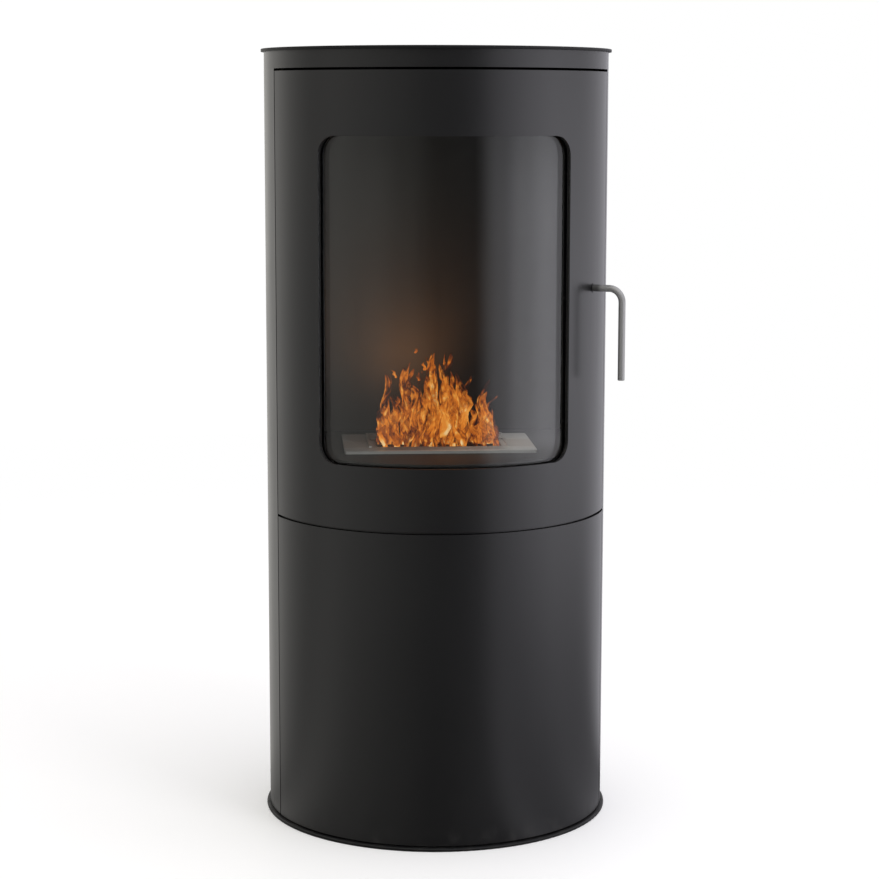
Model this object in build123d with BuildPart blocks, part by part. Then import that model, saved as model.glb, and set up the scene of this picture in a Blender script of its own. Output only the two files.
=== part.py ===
"""Free-standing bioethanol fireplace: a round steel stove body with a glazed upper door over the
firebox, a plain lower door over the storage bay, and a lift-out burner with a sliding lid.

Millimetres. The origin is the centre of the base plate's underside, +Z is up, and the doors face -Y.
An azimuth is counted in degrees from the doors' middle (-Y) towards +X, so the handle stands at +60.
"""

from build123d import *
from math import cos, degrees, radians, sin, sqrt
import os

os.makedirs("parts", exist_ok=True)

# ---------------------------------------------------------------- driving dimensions
# body
total_height = 900.0
body_radius = 200.0
body_sheet = 2.0
base_plate_radius = 204.0
base_plate_thickness = 4.0
base_plate_rounding = 1.6
top_plate_radius = 203.5
top_plate_thickness = 3.5
shadow_gap = 2.0

# seams
ring_seam_height = 875.4
middle_seam_height = 365.1
seam_gap = 2.8
left_seam_azimuth = -70.0
right_seam_azimuth = 75.0
side_gap = 2.0

# upper door's window
window_half_angle = 44.75
window_bottom = 437.5
window_top = 802.5
window_corner = 23.0
glass_depth = 6.2
glass_thickness = 4.0
glass_lap = 7.5
frame_sheet = 1.5

# handle
handle_azimuth = 60.0
handle_height = 630.0
handle_rod_radius = 4.0
handle_bush_wall = 1.0
handle_bend = 15.5
grip_standoff = 35.5
grip_bottom = 525.5

# hinges
hinge_azimuth = -67.0
hinge_radius = 192.3
pin_radius = 2.5
bore_clearance = 0.05
bush_radius = 4.5
bush_collar_radius = 5.4
hinge_swing_radius = 17.0

# firebox
firebox_floor_height = 440.0
firebox_ceiling_height = 850.0
firebox_half_width = 170.0
firebox_back = 95.0
liner_front = -20.0
liner_sheet = 1.5
floor_radius = 183.5
plate_sheet = 2.0

# burner
tray_width = 222.0
tray_depth = 140.0
tray_middle = -28.5
tray_height = 3.2
burner_sheet = 1.5
slot_length = 146.0
slot_width = 46.0
slot_middle = -41.0
reservoir_length = 190.0
reservoir_width = 120.0
reservoir_bottom = 384.0

# ---------------------------------------------------------------- worked-out values
inner_radius = body_radius - body_sheet
gap_angle = degrees(side_gap / 2 / body_radius)
shell_start = right_seam_azimuth + gap_angle
shell_end = left_seam_azimuth + 360 - gap_angle
door_start = left_seam_azimuth + gap_angle
door_end = right_seam_azimuth - gap_angle
flange_angle = degrees(body_sheet / body_radius)
skin_bottom = base_plate_thickness + shadow_gap
lower_door_top = middle_seam_height - seam_gap / 2
upper_door_bottom = middle_seam_height + seam_gap / 2
upper_door_top = ring_seam_height - seam_gap / 2
band_bottom = ring_seam_height + seam_gap / 2
top_plate_bottom = total_height - top_plate_thickness
glass_outer = body_radius - glass_depth
glass_inner = glass_outer - glass_thickness
frame_inner = glass_inner - frame_sheet
glass_half_angle = window_half_angle + degrees(glass_lap / glass_outer)
shelf_top = middle_seam_height + plate_sheet / 2
shelf_bottom = shelf_top - plate_sheet
floor_bottom = firebox_floor_height - plate_sheet
tray_top = firebox_floor_height + tray_height
hinge_x = hinge_radius * sin(radians(hinge_azimuth))
hinge_y = -hinge_radius * cos(radians(hinge_azimuth))


# ---------------------------------------------------------------- shared shapes
def sector(inner, outer, start, end):
    """Flat annular sector between two radii, from one azimuth to another."""
    turn = end - start
    with BuildSketch() as profile:
        with BuildLine():
            rim = CenterArc((0, 0), outer, start - 90, turn)
            throat = CenterArc((0, 0), inner, start - 90, turn)
            Line(rim @ 0, throat @ 0)
            Line(rim @ 1, throat @ 1)
        make_face()
    return profile.sketch


def curved_panel(inner, outer, half_angle, bottom, top, corner):
    """Curved slab about the doors' middle, with its four corners rounded."""
    with BuildPart() as panel:
        with BuildSketch(Plane.XY.offset(bottom)):
            add(sector(inner, outer, -half_angle, half_angle))
        extrude(amount=top - bottom)
        radial_edges = panel.edges().filter_by(GeomType.LINE).filter_by(Plane.XY)
        fillet(radial_edges, radius=corner)
    return panel.part


def facing_plane(azimuth, distance, height):
    """Plane square to a radius: local x runs towards larger azimuths, local y up, z outwards."""
    angle = radians(azimuth)
    outward = Vector(sin(angle), -cos(angle), 0)
    sideways = Vector(cos(angle), sin(angle), 0)
    return Plane(origin=outward * distance + Vector(0, 0, height), x_dir=sideways, z_dir=outward)


def plan_plane(azimuth, height):
    """Level plane seen from above: local x runs towards larger azimuths, local -y outwards."""
    angle = radians(azimuth)
    return Plane(origin=(0, 0, height), x_dir=(cos(angle), sin(angle), 0), z_dir=(0, 0, 1))


# ---------------------------------------------------------------- base
with BuildPart() as base_plate:
    with BuildSketch():
        Circle(base_plate_radius)
    extrude(amount=base_plate_thickness)
    fillet(base_plate.edges().filter_by(GeomType.CIRCLE), radius=base_plate_rounding)
    with BuildSketch(Plane.XY.offset(base_plate_thickness)):
        with Locations((hinge_x, hinge_y)):
            Circle(pin_radius)
    extrude(amount=-base_plate_thickness + 0.5, mode=Mode.SUBTRACT)
base_plate.part.label = "base_plate"
export_step(base_plate.part, "parts/base_plate.step")

# upright strip inside the shell's foot, welded to the base plate, short of the doors' swinging edges
plinth_strip_height = 26.0
plinth_strip_inner = 194.0
plinth_strip_setback = 5.0
with BuildPart() as plinth_strip:
    with BuildSketch(Plane.XY.offset(base_plate_thickness)):
        strip_start = shell_start + plinth_strip_setback
        strip_end = shell_end - plinth_strip_setback
        add(sector(plinth_strip_inner, inner_radius, strip_start, strip_end))
    extrude(amount=plinth_strip_height)
plinth_strip.part.label = "plinth_strip"
export_step(plinth_strip.part, "parts/plinth_strip.step")

# ---------------------------------------------------------------- shell
vent_count = 11
vent_pitch = 7.0
vent_width = 6.0
vent_length = 36.0
vent_heights = (70.0, 400.0, 800.0)
with BuildPart() as rear_shell:
    with BuildSketch(Plane.XY.offset(skin_bottom)):
        add(sector(inner_radius, body_radius, shell_start, shell_end))
    extrude(amount=band_bottom - skin_bottom)
    with BuildSketch(Plane.XY.offset(band_bottom)):
        Circle(body_radius)
        Circle(inner_radius, mode=Mode.SUBTRACT)
    extrude(amount=top_plate_bottom - band_bottom)
    for vent_height in vent_heights:
        for step in range(vent_count):
            vent_azimuth = 180 + (step - (vent_count - 1) / 2) * vent_pitch
            with BuildSketch(facing_plane(vent_azimuth, inner_radius - 5, vent_height)):
                SlotOverall(vent_length, vent_width, rotation=90)
            extrude(amount=12, mode=Mode.SUBTRACT)
rear_shell.part.label = "rear_shell"
export_step(rear_shell.part, "parts/rear_shell.step")

# ---------------------------------------------------------------- top
screw_count = 6
screw_circle = 184.0
screw_shank_radius = 2.5
screw_head_radius = 4.5
screw_head_height = 4.0
ring_plate_inner = 172.0
ring_plate_thickness = 3.0
ring_plate_bottom = top_plate_bottom - ring_plate_thickness
screw_depth = 2.0

outlet_rows = (58.0, 84.0, 110.0)
outlet_width = 8.0
outlet_count = 6
outlet_bridge = 16.0
with BuildPart() as top_plate:
    with BuildSketch(Plane.XY.offset(top_plate_bottom)):
        Circle(top_plate_radius)
    extrude(amount=top_plate_thickness)
    fillet(top_plate.edges().filter_by(GeomType.CIRCLE), radius=0.8)
    outlet_turn = 360 / outlet_count
    with BuildSketch(Plane.XY.offset(top_plate_bottom)):
        for row_radius in outlet_rows:
            for step in range(outlet_count):
                outlet_start = step * outlet_turn + outlet_bridge / 2
                outlet_end = (step + 1) * outlet_turn - outlet_bridge / 2
                inside = row_radius - outlet_width / 2
                add(sector(inside, inside + outlet_width, outlet_start, outlet_end))
    extrude(amount=top_plate_thickness, mode=Mode.SUBTRACT)
    with BuildSketch(Plane.XY.offset(top_plate_bottom)):
        with PolarLocations(screw_circle, screw_count):
            Circle(screw_shank_radius)
    extrude(amount=screw_depth, mode=Mode.SUBTRACT)
top_plate.part.label = "top_plate"
export_step(top_plate.part, "parts/top_plate.step")

with BuildPart() as top_ring:
    with BuildSketch(Plane.XY.offset(ring_plate_bottom)):
        Circle(inner_radius)
        Circle(ring_plate_inner, mode=Mode.SUBTRACT)
        with PolarLocations(screw_circle, screw_count):
            Circle(screw_shank_radius, mode=Mode.SUBTRACT)
    extrude(amount=ring_plate_thickness)
top_ring.part.label = "top_ring"
export_step(top_ring.part, "parts/top_ring.step")

with BuildPart() as top_plate_screws:
    with BuildSketch(Plane.XY.offset(ring_plate_bottom)):
        with PolarLocations(screw_circle, screw_count):
            Circle(screw_shank_radius)
    extrude(amount=ring_plate_thickness + screw_depth)
    with BuildSketch(Plane.XY.offset(ring_plate_bottom)):
        with PolarLocations(screw_circle, screw_count):
            Circle(screw_head_radius)
    extrude(amount=-screw_head_height)
top_plate_screws.part.label = "top_plate_screws"
export_step(top_plate_screws.part, "parts/top_plate_screws.step")

# ---------------------------------------------------------------- middle shelf
shelf_radius = 196.5
shelf_vent_inner = 150.0
shelf_vent_width = 10.0
shelf_vent_angle = 22.0
with BuildPart() as middle_shelf:
    with BuildSketch(Plane.XY.offset(shelf_bottom)):
        Circle(shelf_radius)
        with Locations((hinge_x, hinge_y)):
            Circle(pin_radius, mode=Mode.SUBTRACT)
        for vent_middle in (150, 180, 210):
            vent_start = vent_middle - shelf_vent_angle / 2
            vent_end = vent_middle + shelf_vent_angle / 2
            shelf_vent_outer = shelf_vent_inner + shelf_vent_width
            add(sector(shelf_vent_inner, shelf_vent_outer, vent_start, vent_end), mode=Mode.SUBTRACT)
    extrude(amount=plate_sheet)
middle_shelf.part.label = "middle_shelf"
export_step(middle_shelf.part, "parts/middle_shelf.step")

# folded angles that carry the shelf on the shell
bracket_azimuths = (100, 153, 207, 260)
bracket_half_angle = 4.0
bracket_sheet = 1.5
bracket_drop = 24.0
bracket_reach = 20.0
with BuildPart() as shelf_brackets:
    for middle in bracket_azimuths:
        bracket_start = middle - bracket_half_angle
        bracket_end = middle + bracket_half_angle
        with BuildSketch(Plane.XY.offset(shelf_bottom)):
            add(sector(inner_radius - bracket_sheet, inner_radius, bracket_start, bracket_end))
        extrude(amount=-bracket_drop)
        with BuildSketch(Plane.XY.offset(shelf_bottom)):
            add(sector(inner_radius - bracket_reach, inner_radius, bracket_start, bracket_end))
        extrude(amount=-bracket_sheet)
shelf_brackets.part.label = "shelf_brackets"
export_step(shelf_brackets.part, "parts/shelf_brackets.step")

# ---------------------------------------------------------------- jambs of the door opening
jamb_sheet_angle = 0.6
jamb_foot = 32.0
jamb_clearance = 6.0
jamb_spans = (
    (jamb_foot, shelf_bottom - jamb_clearance),
    (shelf_top + jamb_clearance, upper_door_top - jamb_clearance),
)
left_jamb_azimuth = left_seam_azimuth - 1.2
left_jamb_lap = 8.0
left_jamb_depth = 14.0
with BuildPart() as left_jamb:
    for bottom, top in jamb_spans:
        with BuildSketch(Plane.XY.offset(bottom)):
            lap_end = left_jamb_azimuth - left_jamb_lap
            leg_start = left_jamb_azimuth - jamb_sheet_angle
            add(sector(inner_radius - body_sheet, inner_radius, lap_end, left_jamb_azimuth))
            add(sector(inner_radius - left_jamb_depth, inner_radius, leg_start, left_jamb_azimuth))
        extrude(amount=top - bottom)
left_jamb.part.label = "left_jamb"
export_step(left_jamb.part, "parts/left_jamb.step")

# the right jamb also has the stop that both doors close on; it is cut away at the latch and the magnet
right_jamb_azimuth = right_seam_azimuth + 1.2
right_jamb_lap = 4.3
stop_radius = 189.0
stop_reach = 3.4
latch_notch = (590.0, 680.0)
magnet_notch = (150.0, 230.0)
right_jamb_spans = (
    (jamb_spans[0][0], magnet_notch[0]),
    (magnet_notch[1], jamb_spans[0][1]),
    (jamb_spans[1][0], latch_notch[0]),
    (latch_notch[1], jamb_spans[1][1]),
)
with BuildPart() as right_jamb:
    for bottom, top in right_jamb_spans:
        with BuildSketch(Plane.XY.offset(bottom)):
            lap_end = right_jamb_azimuth + right_jamb_lap
            leg_end = right_jamb_azimuth + jamb_sheet_angle
            stop_start = right_jamb_azimuth - stop_reach
            add(sector(inner_radius - body_sheet, inner_radius, right_jamb_azimuth, lap_end))
            add(sector(stop_radius - body_sheet, inner_radius, right_jamb_azimuth, leg_end))
            add(sector(stop_radius - body_sheet, stop_radius, stop_start, leg_end))
        extrude(amount=top - bottom)
right_jamb.part.label = "right_jamb"
export_step(right_jamb.part, "parts/right_jamb.step")

# soft discs on the stop, behind the doors' folded edges
bumper_azimuth = door_end - flange_angle / 2
bumper_radius = 3.5
bumper_height = 0.6
bumper_heights = (60.0, 335.0, 400.0, 850.0)
with BuildPart() as door_bumpers:
    for height in bumper_heights:
        with BuildSketch(facing_plane(bumper_azimuth, stop_radius, height)):
            Circle(bumper_radius)
        extrude(amount=bumper_height)
door_bumpers.part.label = "door_bumpers"
export_step(door_bumpers.part, "parts/door_bumpers.step")

# ---------------------------------------------------------------- hinge line
hinge_bracket_start = -76.0
hinge_bracket_end = -58.0
hinge_bracket_bottom = band_bottom + 0.4
hinge_bracket_thickness = 3.0
with BuildPart() as top_hinge_bracket:
    with BuildSketch(Plane.XY.offset(hinge_bracket_bottom)):
        add(sector(inner_radius - 20, inner_radius, hinge_bracket_start, hinge_bracket_end))
        with Locations((hinge_x, hinge_y)):
            Circle(pin_radius, mode=Mode.SUBTRACT)
    extrude(amount=hinge_bracket_thickness)
top_hinge_bracket.part.label = "top_hinge_bracket"
export_step(top_hinge_bracket.part, "parts/top_hinge_bracket.step")

top_pin_bottom = 864.0
top_pin_top = 883.0
with BuildPart() as top_hinge_pin:
    with BuildSketch(Plane.XY.offset(top_pin_bottom)):
        with Locations((hinge_x, hinge_y)):
            Circle(pin_radius)
    extrude(amount=top_pin_top - top_pin_bottom)
    chamfer(top_hinge_pin.edges().group_by(Axis.Z)[0], length=0.6)
top_hinge_pin.part.label = "top_hinge_pin"
export_step(top_hinge_pin.part, "parts/top_hinge_pin.step")

middle_pin_reach = 9.0
with BuildPart() as middle_hinge_pin:
    with BuildSketch(Plane.XY.offset(shelf_bottom - middle_pin_reach)):
        with Locations((hinge_x, hinge_y)):
            Circle(pin_radius)
    extrude(amount=plate_sheet + 2 * middle_pin_reach)
    chamfer(middle_hinge_pin.edges().filter_by(GeomType.CIRCLE), length=0.6)
middle_hinge_pin.part.label = "middle_hinge_pin"
export_step(middle_hinge_pin.part, "parts/middle_hinge_pin.step")

base_pin_top = 15.0
with BuildPart() as base_hinge_pin:
    with BuildSketch(Plane.XY.offset(0.5)):
        with Locations((hinge_x, hinge_y)):
            Circle(pin_radius)
    extrude(amount=base_pin_top - 0.5)
    chamfer(base_hinge_pin.edges().group_by(Axis.Z)[-1], length=0.6)
base_hinge_pin.part.label = "base_hinge_pin"
export_step(base_hinge_pin.part, "parts/base_hinge_pin.step")

# ---------------------------------------------------------------- firebox
with BuildPart() as firebox_liner:
    with BuildSketch(Plane.XY.offset(shelf_top)):
        with Locations((0, firebox_back + liner_sheet / 2)):
            Rectangle(2 * (firebox_half_width + liner_sheet), liner_sheet)
        for side in (-1, 1):
            side_x = side * (firebox_half_width + liner_sheet / 2)
            with Locations((side_x, (liner_front + firebox_back) / 2)):
                Rectangle(liner_sheet, firebox_back - liner_front)
            flange_reach = sqrt(inner_radius**2 - liner_front**2) - 1
            flange_x = side * (firebox_half_width + flange_reach) / 2
            with Locations((flange_x, liner_front + liner_sheet / 2)):
                Rectangle(flange_reach - firebox_half_width, liner_sheet)
    extrude(amount=firebox_ceiling_height - shelf_top)
firebox_liner.part.label = "firebox_liner"
export_step(firebox_liner.part, "parts/firebox_liner.step")


def firebox_outline(half_width, back, radius):
    """Plan of a firebox plate: straight sides and back, round front, notched round the hinge line."""
    corner_y = -sqrt(radius**2 - half_width**2)
    with BuildSketch() as outline:
        with BuildLine():
            Polyline((-half_width, corner_y), (-half_width, back), (half_width, back), (half_width, corner_y))
            ThreePointArc((half_width, corner_y), (0, -radius), (-half_width, corner_y))
        make_face()
        with Locations((hinge_x, hinge_y)):
            Circle(hinge_swing_radius, mode=Mode.SUBTRACT)
    return outline.sketch


floor_opening_clearance = 2.5
with BuildPart() as firebox_floor:
    with BuildSketch(Plane.XY.offset(floor_bottom)):
        add(firebox_outline(firebox_half_width, firebox_back, floor_radius))
        with Locations((0, tray_middle)):
            opening_length = reservoir_length + 2 * floor_opening_clearance
            opening_width = reservoir_width + 2 * floor_opening_clearance
            Rectangle(opening_length, opening_width, mode=Mode.SUBTRACT)
    extrude(amount=plate_sheet)
firebox_floor.part.label = "firebox_floor"
export_step(firebox_floor.part, "parts/firebox_floor.step")

angle_front = -12.0
angle_rear = 88.0
angle_leg = 14.0
with BuildPart() as floor_angles:
    for side in (-1, 1):
        with BuildSketch(Plane.XY.offset(floor_bottom)):
            with Locations((side * (firebox_half_width - angle_leg / 2), (angle_front + angle_rear) / 2)):
                Rectangle(angle_leg, angle_rear - angle_front)
        extrude(amount=-liner_sheet)
        with BuildSketch(Plane.XY.offset(floor_bottom)):
            leg_x = side * (firebox_half_width - liner_sheet / 2)
            with Locations((leg_x, (angle_front + angle_rear) / 2)):
                Rectangle(liner_sheet, angle_rear - angle_front)
        extrude(amount=-angle_leg)
floor_angles.part.label = "floor_angles"
export_step(floor_angles.part, "parts/floor_angles.step")

# curved plate that closes the space under the firebox floor
apron_outer = 177.5
apron_start = -48.0
apron_end = 66.0
with BuildPart() as front_apron:
    with BuildSketch(Plane.XY.offset(shelf_top)):
        add(sector(apron_outer - liner_sheet, apron_outer, apron_start, apron_end))
    extrude(amount=floor_bottom - shelf_top)
front_apron.part.label = "front_apron"
export_step(front_apron.part, "parts/front_apron.step")

# firebox ceiling, with a row of slots for the warm air
baffle_radius = 188.0
baffle_slot_count = 7
baffle_slot_pitch = 38.0
baffle_slot_length = 60.0
baffle_slot_width = 12.0
baffle_slot_middle = 40.0
with BuildPart() as baffle:
    with BuildSketch(Plane.XY.offset(firebox_ceiling_height)):
        back = firebox_back + liner_sheet
        add(firebox_outline(firebox_half_width + liner_sheet, back, baffle_radius))
        with Locations((0, baffle_slot_middle)):
            with GridLocations(baffle_slot_pitch, 0, baffle_slot_count, 1):
                SlotOverall(baffle_slot_length, baffle_slot_width, rotation=90, mode=Mode.SUBTRACT)
    extrude(amount=liner_sheet)
baffle.part.label = "baffle"
export_step(baffle.part, "parts/baffle.step")

# ---------------------------------------------------------------- upper door
door_plate_width = 18.0
door_plate_inset = 2.0
edge_fold_radius = 190.0
window_opening = curved_panel(
    inner_radius - 8, body_radius + 10, window_half_angle, window_bottom, window_top, window_corner
)
with BuildPart() as upper_door_skin:
    with BuildSketch(Plane.XY.offset(upper_door_bottom)):
        add(sector(inner_radius, body_radius, door_start, door_end))
        add(sector(edge_fold_radius, body_radius, door_start, door_start + flange_angle))
        add(sector(edge_fold_radius, body_radius, door_end - flange_angle, door_end))
    extrude(amount=upper_door_top - upper_door_bottom)
    add(window_opening, mode=Mode.SUBTRACT)
    with BuildSketch(facing_plane(handle_azimuth, inner_radius - 5, handle_height)):
        Circle(handle_rod_radius + handle_bush_wall)
    extrude(amount=12, mode=Mode.SUBTRACT)
upper_door_skin.part.label = "upper_door_skin"
export_step(upper_door_skin.part, "parts/upper_door_skin.step")


def door_end_plate(bottom):
    """Level plate across a door's end, inside the folded edges, bored for a hinge bush."""
    plate_start = door_start + flange_angle
    plate_end = door_end - flange_angle
    with BuildPart() as plate:
        with BuildSketch(Plane.XY.offset(bottom)):
            add(sector(inner_radius - door_plate_width, inner_radius, plate_start, plate_end))
            with Locations((hinge_x, hinge_y)):
                Circle(bush_radius, mode=Mode.SUBTRACT)
        extrude(amount=body_sheet)
    return plate.part


def hinge_bush(plate_bottom, collar_low, collar_high, sleeve_low, sleeve_high):
    """Bush through a door's end plate, with a collar on the side that meets the carcass."""
    with BuildPart() as bush:
        with BuildSketch(Plane.XY.offset(collar_low)):
            with Locations((hinge_x, hinge_y)):
                Circle(bush_collar_radius)
        extrude(amount=collar_high - collar_low)
        with BuildSketch(Plane.XY.offset(sleeve_low)):
            with Locations((hinge_x, hinge_y)):
                Circle(bush_radius)
        extrude(amount=sleeve_high - sleeve_low)
        with BuildSketch(Plane.XY.offset(plate_bottom - 20)):
            with Locations((hinge_x, hinge_y)):
                Circle(pin_radius + bore_clearance)
        extrude(amount=40, mode=Mode.SUBTRACT)
    return bush.part


upper_bottom_plate_low = upper_door_bottom + door_plate_inset
upper_top_plate_low = upper_door_top - door_plate_inset - body_sheet
collar_gap = 0.6
sleeve_reach = 4.0
collar_length = 2.5
with BuildPart() as upper_door_bottom_plate:
    add(door_end_plate(upper_bottom_plate_low))
upper_door_bottom_plate.part.label = "upper_door_bottom_plate"
export_step(upper_door_bottom_plate.part, "parts/upper_door_bottom_plate.step")

with BuildPart() as upper_door_top_plate:
    add(door_end_plate(upper_top_plate_low))
upper_door_top_plate.part.label = "upper_door_top_plate"
export_step(upper_door_top_plate.part, "parts/upper_door_top_plate.step")

with BuildPart() as upper_door_bushes:
    low_plate_top = upper_bottom_plate_low + body_sheet
    add(
        hinge_bush(
            upper_bottom_plate_low,
            shelf_top + collar_gap,
            upper_bottom_plate_low,
            upper_bottom_plate_low,
            low_plate_top + sleeve_reach,
        )
    )
    high_plate_top = upper_top_plate_low + body_sheet
    add(
        hinge_bush(
            upper_top_plate_low,
            high_plate_top,
            high_plate_top + collar_length,
            upper_top_plate_low - sleeve_reach,
            high_plate_top,
        )
    )
upper_door_bushes.part.label = "upper_door_bushes"
export_step(upper_door_bushes.part, "parts/upper_door_bushes.step")

# ---------------------------------------------------------------- glazing
glass_bottom = window_bottom - glass_lap
glass_top = window_top + glass_lap
glass_corner = 14.0
with BuildPart() as door_glass:
    add(curved_panel(glass_inner, glass_outer, glass_half_angle, glass_bottom, glass_top, glass_corner))
door_glass.part.label = "door_glass"
export_step(door_glass.part, "parts/door_glass.step")

gasket_setback = 0.4
gasket_setback_angle = degrees(gasket_setback / body_radius)
gasket_opening = curved_panel(
    glass_outer - 5,
    body_radius + 5,
    window_half_angle + gasket_setback_angle,
    window_bottom - gasket_setback,
    window_top + gasket_setback,
    window_corner,
)
with BuildPart() as glass_gasket:
    add(curved_panel(glass_outer, inner_radius, glass_half_angle, glass_bottom, glass_top, glass_corner))
    add(gasket_opening, mode=Mode.SUBTRACT)
glass_gasket.part.label = "glass_gasket"
export_step(glass_gasket.part, "parts/glass_gasket.step")

stud_radius = 2.0
nut_radius = 3.5
nut_height = 3.0
frame_border = 11.0
frame_border_angle = degrees(frame_border / glass_inner)
frame_half_angle = glass_half_angle + frame_border_angle
frame_opening_margin = 1.5
stud_inset = 5.5
stud_side_azimuth = glass_half_angle + degrees(stud_inset / glass_inner)
stud_places = [(side * stud_side_azimuth, height) for side in (-1, 1) for height in (480, 620, 760)]
stud_places += [
    (azimuth, height)
    for azimuth in (-30, 0, 30)
    for height in (glass_bottom - stud_inset, glass_top + stud_inset)
]
frame_opening = curved_panel(
    frame_inner - 5,
    glass_outer,
    window_half_angle + degrees(frame_opening_margin / glass_inner),
    window_bottom - frame_opening_margin,
    window_top + frame_opening_margin,
    window_corner,
)
with BuildPart() as glass_frame:
    frame_bottom = glass_bottom - frame_border
    frame_top = glass_top + frame_border
    add(curved_panel(frame_inner, glass_inner, frame_half_angle, frame_bottom, frame_top, glass_corner))
    add(frame_opening, mode=Mode.SUBTRACT)
    for stud_azimuth, stud_height in stud_places:
        with BuildSketch(facing_plane(stud_azimuth, frame_inner - 3, stud_height)):
            Circle(stud_radius)
        extrude(amount=8, mode=Mode.SUBTRACT)
glass_frame.part.label = "glass_frame"
export_step(glass_frame.part, "parts/glass_frame.step")

stud_start = frame_inner - nut_height - 1
with BuildPart() as frame_studs:
    for stud_azimuth, stud_height in stud_places:
        with BuildSketch(facing_plane(stud_azimuth, stud_start, stud_height)):
            Circle(stud_radius)
        extrude(amount=inner_radius - stud_start - 0.02)
frame_studs.part.label = "frame_studs"
export_step(frame_studs.part, "parts/frame_studs.step")

nut_setback = 0.05
with BuildPart() as frame_nuts:
    for stud_azimuth, stud_height in stud_places:
        nut_start = frame_inner - nut_setback - nut_height
        with BuildSketch(facing_plane(stud_azimuth, nut_start, stud_height)):
            RegularPolygon(nut_radius, 6)
            Circle(stud_radius, mode=Mode.SUBTRACT)
        extrude(amount=nut_height)
frame_nuts.part.label = "frame_nuts"
export_step(frame_nuts.part, "parts/frame_nuts.step")

# ---------------------------------------------------------------- handle and latch
tongue_thickness = 3.0
tongue_outer = 179.5
tongue_inner = tongue_outer - tongue_thickness
tongue_width = 14.0
tongue_tail = 8.0
tongue_reach = 62.0
stub_radius = 3.0
stub_start = 171.5
tongue_nut_radius = 5.5
tongue_nut_height = 4.0
bush_inner_end = 184.0
rosette_radius = 5.4
rosette_height = 0.6
with BuildPart() as handle_bush:
    with BuildSketch(facing_plane(handle_azimuth, bush_inner_end, handle_height)):
        Circle(handle_rod_radius + handle_bush_wall)
    extrude(amount=body_radius - bush_inner_end)
    with BuildSketch(facing_plane(handle_azimuth, body_radius, handle_height)):
        Circle(rosette_radius)
    extrude(amount=rosette_height)
    with BuildSketch(facing_plane(handle_azimuth, bush_inner_end, handle_height)):
        Circle(handle_rod_radius + bore_clearance)
    extrude(amount=body_radius - bush_inner_end + rosette_height, mode=Mode.SUBTRACT)
handle_bush.part.label = "handle_bush"
export_step(handle_bush.part, "parts/handle_bush.step")

handle_outward = facing_plane(handle_azimuth, 0, 0).z_dir
handle_side_plane = Plane(
    origin=(0, 0, handle_height), x_dir=handle_outward, z_dir=handle_outward.cross(Vector(0, 0, 1))
)
grip_radius = body_radius + grip_standoff
with BuildPart() as handle_rod:
    with BuildLine(handle_side_plane) as rod_path:
        FilletPolyline(
            (tongue_outer, 0),
            (grip_radius, 0),
            (grip_radius, grip_bottom - handle_height),
            radius=handle_bend,
        )
    with BuildSketch(Plane(origin=rod_path.line @ 0, z_dir=rod_path.line % 0)):
        Circle(handle_rod_radius)
    sweep(path=rod_path.line)
    chamfer(handle_rod.edges().group_by(Axis.Z)[0], length=0.5)
    with BuildSketch(facing_plane(handle_azimuth, stub_start, handle_height)):
        Circle(stub_radius)
    extrude(amount=tongue_outer - stub_start)
handle_rod.part.label = "handle_rod"
export_step(handle_rod.part, "parts/handle_rod.step")

with BuildPart() as latch_tongue:
    with BuildSketch(facing_plane(handle_azimuth, tongue_inner, handle_height)):
        with Locations(((tongue_reach - tongue_tail) / 2, 0)):
            SlotOverall(tongue_reach + tongue_tail, tongue_width)
        Circle(stub_radius, mode=Mode.SUBTRACT)
    extrude(amount=tongue_thickness)
latch_tongue.part.label = "latch_tongue"
export_step(latch_tongue.part, "parts/latch_tongue.step")

with BuildPart() as tongue_nut:
    with BuildSketch(facing_plane(handle_azimuth, tongue_inner - tongue_nut_height, handle_height)):
        RegularPolygon(tongue_nut_radius, 6)
        Circle(stub_radius, mode=Mode.SUBTRACT)
    extrude(amount=tongue_nut_height)
tongue_nut.part.label = "tongue_nut"
export_step(tongue_nut.part, "parts/tongue_nut.step")

# leaf spring that the tongue slips behind, on a block that is welded to the shell
leaf_inner = 180.0
leaf_thickness = 1.0
leaf_start = 51.0
leaf_end = 74.0
leaf_height = 20.0
leaf_lip = 3.0
block_start = 66.0
with BuildPart() as latch_keeper:
    with BuildSketch(plan_plane(handle_azimuth, handle_height - leaf_height / 2)):
        with BuildLine():
            Polyline(
                (leaf_start - leaf_lip, -leaf_inner - leaf_lip),
                (leaf_start, -leaf_inner),
                (leaf_end, -leaf_inner),
                (leaf_end, -leaf_inner - leaf_thickness),
                (leaf_start + 0.4, -leaf_inner - leaf_thickness),
                (leaf_start - leaf_lip + 0.7, -leaf_inner - leaf_lip - 0.7),
                close=True,
            )
        make_face()
    extrude(amount=leaf_height)
latch_keeper.part.label = "latch_keeper"
export_step(latch_keeper.part, "parts/latch_keeper.step")

with BuildPart() as keeper_bracket:
    with BuildSketch(plan_plane(handle_azimuth, handle_height - leaf_height / 2)):
        with Locations(((block_start + leaf_end) / 2, -leaf_inner - leaf_thickness - 10)):
            Rectangle(leaf_end - block_start, 20)
    extrude(amount=leaf_height)
    with BuildSketch(Plane.XY.offset(handle_height - leaf_height / 2)):
        Circle(inner_radius)
    extrude(amount=leaf_height, mode=Mode.INTERSECT)
keeper_bracket.part.label = "keeper_bracket"
export_step(keeper_bracket.part, "parts/keeper_bracket.step")

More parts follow.
